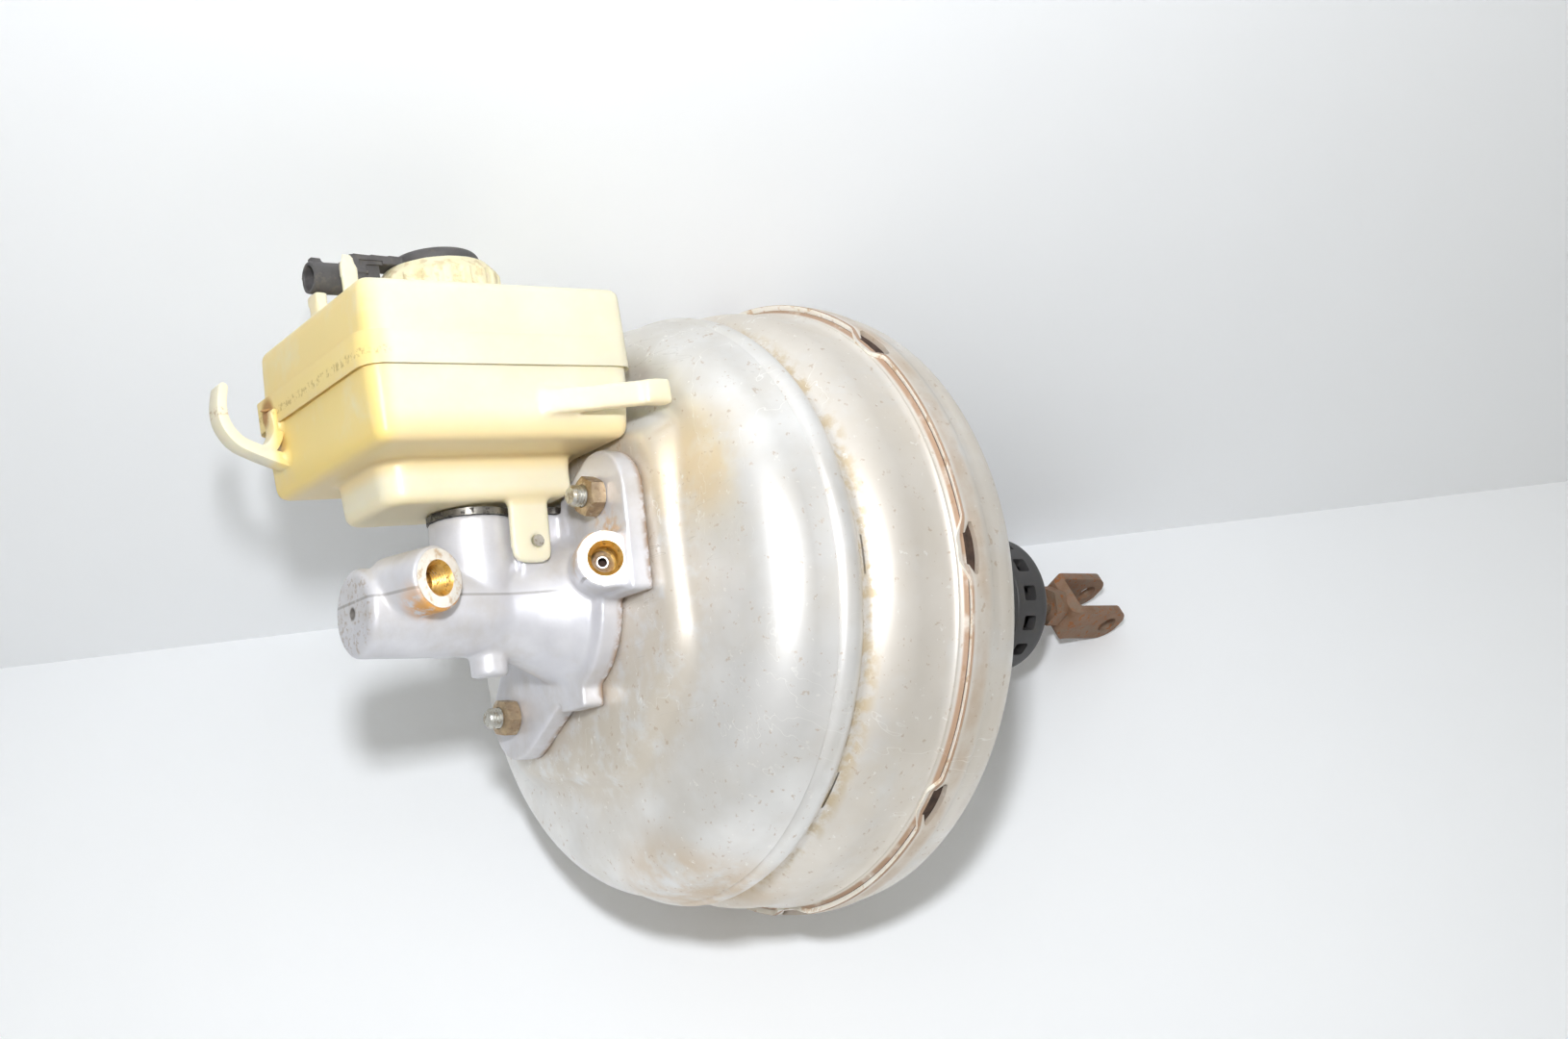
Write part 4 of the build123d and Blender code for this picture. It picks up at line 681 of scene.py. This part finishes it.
castBody = softCopy("master_cylinder", "masterCylinderCasting", 0.95, 5)
carve(castBody, turnedPiece("centreDimple", [(-241.0, 0), (-241.0, 2.6), (-238.4, 1.7), (-236.4, 0)], 24))
settle(castBody, "housing", "cast_aluminium", ["master_cylinder"], 60)
print("casting:", len(castBody.data.polygons), "faces")

ports = {
    "frontPort": {"mouth": (-218.5, -27.5, 7.6), "yaw": 18.0, "face": 10.4},
    "rearPort": {"mouth": (-165.0, -50.0, 10.5), "yaw": -25.0, "face": 9.8},
}
portRadii = {"drilling": 1.8, "seat": 4.2, "thread": 6.3}


def portPiece(name, port):
    # Machined face, countersink, thread rings and the flare seat at the bottom, one turned form
    outline = [(0.25, port["face"]), (0.25, 6.5), (-0.7, 5.6)]
    x = -0.9
    while x > -8.6:
        outline += [(x, 5.5), (x - 0.6, 4.95)]
        x -= 1.2
    outline += [(-9.6, 5.3), (-10.6, 5.3), (-11.0, 4.6), (-8.8, 2.2), (-8.8, 1.7), (-13.0, 1.7), (-13.0, 0.0),
                (-14.0, 0.0), (-14.0, 6.0), (-0.6, 6.0), (-0.4, port["face"])]
    piece = turnedPiece(name, outline, 64)
    turn = math.radians(port["yaw"])
    out = Vector((math.sin(turn), -math.cos(turn), 0))
    side = Vector((math.cos(turn), math.sin(turn), 0))
    place = Matrix((out, side, out.cross(side))).transposed().to_4x4()
    place.translation = Vector(port["mouth"]) * mm
    piece.data.transform(place)

    def finishAt(face, *middle):
        # bare metal on the face and the flare seat, stained threads between them, and the drilling painted dark brown:
        # painted shade in the hole
        away = Vector(middle) - Vector(port["mouth"])
        radius = (away - out * away.dot(out)).length
        if radius < portRadii["drilling"]:
            return 2
        return 1 if portRadii["seat"] <= radius <= portRadii["thread"] else 0

    paint(piece, ("machinedAluminium", "stainedThread", "rustyPaintedShade"), finishAt)
    return piece


for name, port in ports.items():
    settle(portPiece(name, port), "housing", "cast_aluminium", (), 30)
print("ports")


# Mounting nuts and their studs

fasteners = {
    "reach": 52.2, "angle": 136.5, "flats": 13.0, "height": 6.8, "face": -158.1, "tip": 5.0, "pitch": 1.25,
    "turns": (30.0, 48.0), "root": -147.0,
}
turn = math.radians(fasteners["angle"])
studPlaces = [(math.cos(turn) * fasteners["reach"], math.sin(turn) * fasteners["reach"])]
studPlaces.append((-studPlaces[0][0], -studPlaces[0][1]))


def threadOutline(start, end, crest, root, pitch):
    # Crests and roots of a thread as rings
    outline = []
    x = start
    while x < end:
        outline += [(x, root), (x + pitch * 0.45, crest), (x + pitch * 0.55, crest)]
        x += pitch
    return outline


nuts, studs, f = [], [], fasteners
for index, (y, z) in enumerate(studPlaces):
    front = f["face"] - f["height"]
    nut = post("nut", (front + f["height"] / 2, 0, 0), f["flats"] / 2 / math.cos(math.pi / 6), f["height"],
               (0, math.pi / 2, 0), 6)
    pick(nut)
    bpy.ops.transform.rotate(value=math.radians(f["turns"][index]), orient_axis="X", center_override=(0, 0, 0))
    bpy.ops.object.transform_apply(location=True, rotation=True, scale=True)
    cone = turnedPiece("cone", [(front, 0), (front, 5.8), (front + 1.0, 7.6), (f["face"] - 0.9, 7.6),
                                (f["face"], 6.2), (f["face"], 0)], 64)
    carve(nut, cone, "INTERSECT")
    carve(nut, turnedPiece("hole", [(front - 1, 0), (front - 1, 4.6), (front + 0.5, 4.05), (f["face"] + 1, 4.05),
                                    (f["face"] + 1, 0)], 48))
    tip = front - f["tip"]
    outline = [(tip, 0), (tip, 3.0)] + threadOutline(tip + 0.7, front + 2, 4.0, 3.35, f["pitch"])
    outline += [(front + 4, 3.9), (f["root"], 3.9), (f["root"], 0)]
    stud = turnedPiece("stud", outline, 40)
    for piece in (nut, stud):
        piece.data.transform(Matrix.Translation((0, y * mm, z * mm)))
    nuts.append(nut)
    studs.append(stud)
settle(joined("mountingNuts", nuts), "housing", "nut_zinc", ["mounting_nuts"], 30)
settle(joined("mountingStuds", studs), "housing", "stud_zinc", ["front_studs"], 30)
print("nuts and studs")


# Reservoir

hook = {
    "y": 28.0, "width": 9.0,
    "arm": ((-247.5, 60.6), (-252.5, 62.0), (-259.0, 64.2), (-266.0, 67.4), (-270.6, 73.4), (-271.8, 80.0),
            (-271.0, 86.8)),
    "prong": ((-258.5, 63.6), (-254.4, 65.6), (-252.0, 69.6), (-251.6, 74.0), (-252.6, 78.4)),
}
tank = {
    "centre": (-197.0, 0.0, 84.5), "tilt": 4.2, "length": 101.5, "width": 97.2, "shift": (-3.3, -3.0), "corner": 6.5,
    "stretchSide": -53.2,
}


def onTank(piece):
    # From the reservoir's own tilted frame to the booster's
    turn = math.radians(tank["tilt"])
    place = Matrix.Rotation(-turn, 4, "Y")
    place.translation = Vector(tank["centre"]) * mm
    piece.data.transform(place)
    return piece


def stretchEnd(piece):
    # The end wall over the booster stands out more towards its top
    turn = math.radians(tank["tilt"])
    along, rise = Vector((math.cos(turn), 0, math.sin(turn))), Vector((-math.sin(turn), 0, math.cos(turn)))

    def rule(x, y, z):
        away = Vector((x, y, z)) - Vector(tank["centre"])
        share = min(1.0, max(0.0, (away.dot(along) - 30) / 15)) if y > tank["stretchSide"] else 0.0
        level = min(1.0, max(0.0, (away.dot(rise) + 31) / 17))
        out = (0.6 + 2.4 * level + max(0.0, away.dot(rise)) * 0.07) * share
        return (x + along.x * out, y, z + along.z * out)

    moveVertices(piece, rule)


lowerTank = softCopy("reservoir_lower", "reservoirLower", 1.15, 4)
stretchEnd(lowerTank)
carve(lowerTank, block("hookSpace", (-264.0, hook["y"], 75.0), (24.0, 14.0, 40.0)))
settle(lowerTank, "housing", "tank_plastic", ["reservoir_lower"], 60)
upperTank = softCopy("reservoir_upper", "reservoirUpper", 1.0, 4)
stretchEnd(upperTank)
settle(upperTank, "housing", "tank_plastic", ["reservoir_upper"], 60)


def smoothPath(points, count):
    # Curve through all the points
    ends = [points[0], *points, points[-1]]
    out = []
    for a, b, c, d in zip(ends, ends[1:], ends[2:], ends[3:]):
        for step in range(count):
            t = step / count
            out.append(tuple(
                0.5 * (2 * q + (r - p) * t + (2 * p - 5 * q + 4 * r - u) * t * t + (3 * q - p - 3 * r + u) * t ** 3)
                for p, q, r, u in zip(a, b, c, d)
            ))
    return out + [tuple(points[-1])]


def ribbon(path, start, end):
    # Closed outline round a path, its half width running from start to end, with a round tip
    left, right = [], []
    for index, (x, z) in enumerate(path):
        (x0, z0), (x1, z1) = path[max(0, index - 1)], path[min(len(path) - 1, index + 1)]
        length = math.hypot(x1 - x0, z1 - z0)
        half = start + (end - start) * index / (len(path) - 1)
        nx, nz = -(z1 - z0) / length * half, (x1 - x0) / length * half
        left.append((x + nx, z + nz))
        right.append((x - nx, z - nz))
    (tx, tz), (nx, nz) = path[-1], (left[-1][0] - path[-1][0], left[-1][1] - path[-1][1])
    tip = [(tx + nx * math.cos(t) + nz * math.sin(t), tz + nz * math.cos(t) - nx * math.sin(t))
           for t in (math.pi * k / 6 for k in range(1, 6))]
    return left + tip + right[::-1]


band = {"rim": 1.4, "half": 1.5, "deep": 2.2, "stretch": 3.0}


def roundedRing(name, grow, low, high):
    # Block with the tub's rounded outline, standing on the tank's own frame
    length, width = tank["length"] + band["stretch"] + 2 * grow, tank["width"] + 2 * grow
    centre = (tank["shift"][0] + band["stretch"] / 2, tank["shift"][1], (low + high) / 2)
    piece = block(name, centre, (length, width, high - low))
    pick(piece)
    bpy.ops.object.mode_set(mode="EDIT")
    bpy.ops.mesh.select_all(action="DESELECT")
    bpy.ops.object.mode_set(mode="OBJECT")
    for edge in piece.data.edges:
        first, second = (piece.data.vertices[index].co for index in edge.vertices)
        edge.select = abs(first.z - second.z) > 0.5 * mm
    bpy.ops.object.mode_set(mode="EDIT")
    bpy.ops.mesh.select_mode(type="EDGE")
    bpy.ops.mesh.bevel(offset=(tank["corner"] + grow) * mm, segments=8)
    bpy.ops.object.mode_set(mode="OBJECT")
    return piece


weldBand = roundedRing("weldBand", band["rim"], -band["half"], band["half"])
finishWith(weldBand, "BEVEL", width=1.0 * mm, segments=4, angle_limit=math.radians(60))
carve(weldBand, roundedRing("inside", -band["deep"], -9, 9))
settle(onTank(weldBand), "housing", "tank_plastic", (), 40)

near, far = hook["y"] - hook["width"] / 2, hook["y"] + hook["width"] / 2
arm = prism("hookArm", ribbon(smoothPath(hook["arm"], 6), 2.3, 1.7), near, far)
prong = prism("hookProng", ribbon(smoothPath(hook["prong"], 6), 2.2, 1.7), near + 0.4, far - 0.4)
hoseHook = joined("hoseHook", [arm, prong])
finishWith(hoseHook, "BEVEL", width=0.7 * mm, segments=2, angle_limit=math.radians(40))
settle(hoseHook, "housing", "tank_plastic", (), 40)
print("reservoir:", len(lowerTank.data.polygons), len(upperTank.data.polygons), "faces")

collar = softCopy("cap_collar", "capCollar", 0.55, 3)
settle(collar, "filler_collar", "collar_plastic", ["cap_collar"], 60)

sensor = softCopy("cap_insert", "levelSensorCap", 0.5, 2)
carve(sensor, onTank(block("recess", (-24.5, -5.6, 46.2), (9.5, 2.0, 3.2), (0, 0, 0), 0.3)))
web = onTank(block("web", (-23.8, 0, 43.8), (6.6, 7.0, 6.0), (0, 0, 0), 0.3))
rim = onTank(block("rim", (-29.5, 0, 43.0), (6.8, 11.8, 1.2), (0, 0, 0), 0.3))
settle(joined("levelSensorCap", [sensor, web, rim]), "level_sensor", "cap_plastic", ["cap_insert"], 50)
print("cap")


# Breather boot on the neck

boot = {"windows": 14, "windowX": 74.25, "window": (7.5, 7.0, 12.0), "radius": 31.3}
outline = [(32.0, 27.7), (32.0, 30.6), (32.6, 31.3), (64.5, 31.3), (65.2, 30.7), (66.0, 30.7), (66.6, 31.3),
           (82.5, 31.3)]
outline += arcThrough(outline[-1], (86.2, 30.0), (88.0, 26.6), 8)
outline += [(88.0, 25.6), (87.3, 25.1), (87.3, 24.3), (88.0, 23.8), (88.0, 22.3), (89.4, 21.9), (90.0, 21.2),
            (90.0, 17.6), (89.2, 17.2), (89.2, 16.2), (89.8, 15.8), (89.8, 14.0), (89.2, 13.1), (85.8, 13.1),
            (85.8, 26.6), (40.4, 26.9), (40.4, 27.7)]
bootPiece = turnedPiece("breatherBoot", outline, 112)
openings = []
for index in range(boot["windows"]):
    turn = 2 * math.pi * (index + 0.5) / boot["windows"]
    centre = Matrix.Rotation(turn, 3, "X") @ Vector((boot["windowX"], 0, boot["radius"]))
    openings.append(block("window", centre, boot["window"], (turn, 0, 0), 1.1))
carve(bootPiece, joined("windows", openings))
settle(bootPiece, "housing", "boot_plastic", ["boot"], 35)
print("boot:", len(bootPiece.data.polygons), "faces")


# Clevis fork, bent from strip

fork = {
    "base": 125.0, "tip": 164.5, "plate": 4.2, "half": 12.4, "width": 21.6, "pinX": 155.0, "pin": 5.0, "roll": 29.0,
    "droop": 0.4, "ball": -52.0, "bend": 4.8, "shoulder": 4.8 * 0.293, "rodHole": 5.1,
}
f = fork
strip = [(f["tip"], f["half"]), (f["base"] + f["bend"], f["half"])]
strip += arcThrough(strip[-1], (f["base"] + f["shoulder"], f["half"] - f["shoulder"]),
                    (f["base"], f["half"] - f["bend"]), 6)
strip += [(x, -z) for x, z in strip[::-1]]
inner = f["half"] - f["plate"]
cup = [(f["tip"], -inner), (f["base"] + f["plate"] + 1.2, -inner), (f["base"] + f["plate"] + 0.35, -inner + 0.35),
       (f["base"] + f["plate"], -inner + 1.2)]
strip += cup + [(x, -z) for x, z in cup[::-1]]
forkPiece = prism("clevisFork", strip, -f["width"] / 2, f["width"] / 2)
finishWith(forkPiece, "BEVEL", width=0.6 * mm, segments=2, angle_limit=math.radians(50))
half = f["width"] / 2
side = [(f["base"] - 1, -half + 4.5), (f["base"] + 4.0, -half)]
side += [(f["tip"] - half, -half)] + arcThrough((f["tip"] - half, -half), (f["tip"], 0.0), (f["tip"] - half, half), 20)
side += [(f["base"] + 4.0, half), (f["base"] - 1, half - 4.5)]
sidePiece = prism("side", side, -20, 20)
sidePiece.data.transform(Matrix.Rotation(math.pi / 2, 4, "X"))
carve(forkPiece, sidePiece, "INTERSECT")
carve(forkPiece, joined("holes", [post("pinHole", (f["pinX"], 0, 0), f["pin"], 40),
                                  post("rodHole", (f["base"], 0, 0), f["rodHole"], 14, (0, math.pi / 2, 0))]))
place = Matrix.Translation((f["ball"] * mm, 0, 0)) @ Matrix.Rotation(math.radians(f["droop"]), 4, "Y")
place = place @ Matrix.Translation((-f["ball"] * mm, 0, 0)) @ Matrix.Rotation(math.radians(-f["roll"]), 4, "X")
forkPiece.data.transform(place)
settle(forkPiece, "pedal_rod", "rusty_steel", ["fork"], 35)
print("fork:", len(forkPiece.data.polygons), "faces")


# Stage, light and camera

camera = {
    "centre": (-466.48, -516.98, -85.31), "right": (0.779636, -0.615251, -0.116762),
    "up": (-0.023181, -0.214678, 0.97641), "forward": (0.625803, 0.758538, 0.181633), "focal": 1640.0,
    "size": (1630, 1080), "sensor": 36.0,
}
# The booster lies on the rim of its shell and on its fork
stage = {
    "up": (-0.46267, -0.70352, 0.53944), "touch": 126.9, "touchX": -60.0, "wallLine": ((0, 695), (1630, 500)),
    "reach": 3.0, "spread": 1.6, "glow": {"floor": 0.07, "wall": 0.05}, "blotches": 300,
}
right, up, forward = (Vector(camera[key]) for key in ("right", "up", "forward"))
eye = Vector(camera["centre"]) * mm
bpy.ops.object.camera_add(location=eye)
cameraObject = bpy.context.object
cameraObject.rotation_euler = Matrix((right, up, -forward)).transposed().to_euler()
cameraObject.data.sensor_width = camera["sensor"]
cameraObject.data.lens = camera["sensor"] * camera["focal"] / camera["size"][0]
cameraObject.data.clip_start = 0.01
bpy.context.scene.camera = cameraObject


def pixelRay(x, y):
    # Direction from the camera through a pixel
    across, down = x - camera["size"][0] / 2, y - camera["size"][1] / 2
    return (forward * camera["focal"] + right * across - up * down).normalized()


def lookedAt(tree):
    # 1 on rays of the camera or of reflections, then each of the two on its own
    seen = addNode(tree, "ShaderNodeLightPath").outputs
    sockets = seen["Is Camera Ray"], seen["Is Glossy Ray"]
    return calculated(tree, "MAXIMUM", *sockets), *sockets


floorUp = Vector(stage["up"]).normalized()
rim = Vector((0, floorUp.y, floorUp.z)).normalized() * -stage["touch"] * mm
touch = Vector((stage["touchX"] * mm, 0, 0)) + rim
corners = []
for x, y in stage["wallLine"]:
    ray = pixelRay(x, y)
    corners.append(eye + ray * ((touch - eye).dot(floorUp) / ray.dot(floorUp)))
along = (corners[1] - corners[0]).normalized()
middle = (corners[0] + corners[1]) / 2
inward = floorUp.cross(along).normalized()
if inward.dot(eye - middle) < 0:
    inward = -inward
for name, across in (("floor", inward), ("wall", floorUp)):
    bpy.ops.mesh.primitive_grid_add(x_subdivisions=4, y_subdivisions=4, size=stage["reach"])
    sheet = bpy.context.object
    sheet.name = name
    normal = along.cross(across)
    place = Matrix((along * stage["spread"], across, normal)).transposed().to_4x4()
    place.translation = middle + across * stage["reach"] / 2
    sheet.data.transform(place)
    paper = bpy.data.materials.new(name + "Paper")
    paper.use_nodes = True
    tree = paper.node_tree
    shader = next(node for node in tree.nodes if node.type == "BSDF_PRINCIPLED")
    shader.inputs["Roughness"].default_value = 0.9
    shader.inputs["Specular IOR Level"].default_value = 0.1
    coords = addNode(tree, "ShaderNodeTexCoord").outputs["Object"]
    tone = mixed(tree, noiseField(tree, coords, stage["blotches"]), linear("#eff2f6"), linear("#f6f8fb"))
    tree.links.new(tone, shader.inputs["Base Color"])
    # a little light of its own where the camera or a reflection sees it keeps the sheet near white
    share = calculated(tree, "MULTIPLY", lookedAt(tree)[0], stage["glow"][name])
    glow = addNode(tree, "ShaderNodeEmission", {"Color": tone, "Strength": share}).outputs[0]
    lit = addNode(tree, "ShaderNodeAddShader", {0: shader.outputs[0], 1: glow}).outputs[0]
    # the sheet is seen from its front only, so that it doesn't hide the object from behind
    back = addNode(tree, "ShaderNodeNewGeometry").outputs["Backfacing"]
    clear = addNode(tree, "ShaderNodeBsdfTransparent").outputs[0]
    output = next(node for node in tree.nodes if node.type == "OUTPUT_MATERIAL")
    both = addNode(tree, "ShaderNodeMixShader", {0: back, 1: lit, 2: clear})
    tree.links.new(both.outputs[0], output.inputs["Surface"])
    sheet.data.materials.append(paper)
    if normal.dot(eye - middle) < 0:
        edited(sheet, bpy.ops.mesh.flip_normals)

lamps = [
    {"name": "flash", "at": (-0.017, 0.141, 0.0), "size": 0.05, "power": 3.5, "colour": "#fafcff"},
    {"name": "ceiling", "at": (0.1, 0.9, -0.15), "size": 1.2, "power": 1.2, "colour": "#fffaf0"},
]
aim = Vector((-0.12, 0.0, 0.0))
for lamp in lamps:
    x, y, z = lamp["at"]
    bpy.ops.object.light_add(type="AREA", location=eye + right * x + up * y + forward * z)
    light = bpy.context.object
    light.name = lamp["name"]
    light.data.size = lamp["size"]
    light.data.energy = lamp["power"]
    light.data.color = linear(lamp["colour"])[:3]
    light.rotation_euler = (aim - light.location).to_track_quat("-Z", "Y").to_euler()

room = {"fill": 0.34, "reflected": 0.65, "seen": 0.95}
world = bpy.data.worlds.new("studio")
bpy.context.scene.world = world
world.use_nodes = True
tree = world.node_tree
background = next(node for node in tree.nodes if node.type == "BACKGROUND")
# warm daylight fills the shadows; the camera and reflections see a plain pale room
direct, byCamera, byReflection = lookedAt(tree)
tree.links.new(mixed(tree, direct, linear("#fbf6e8"), linear("#fafbfc")), background.inputs["Color"])
level = mixed(tree, byReflection, room["fill"], room["reflected"], False)
tree.links.new(mixed(tree, byCamera, level, room["seen"], False), background.inputs["Strength"])
bpy.context.scene.view_settings.view_transform = "Standard"
print("stage, lamps and camera")
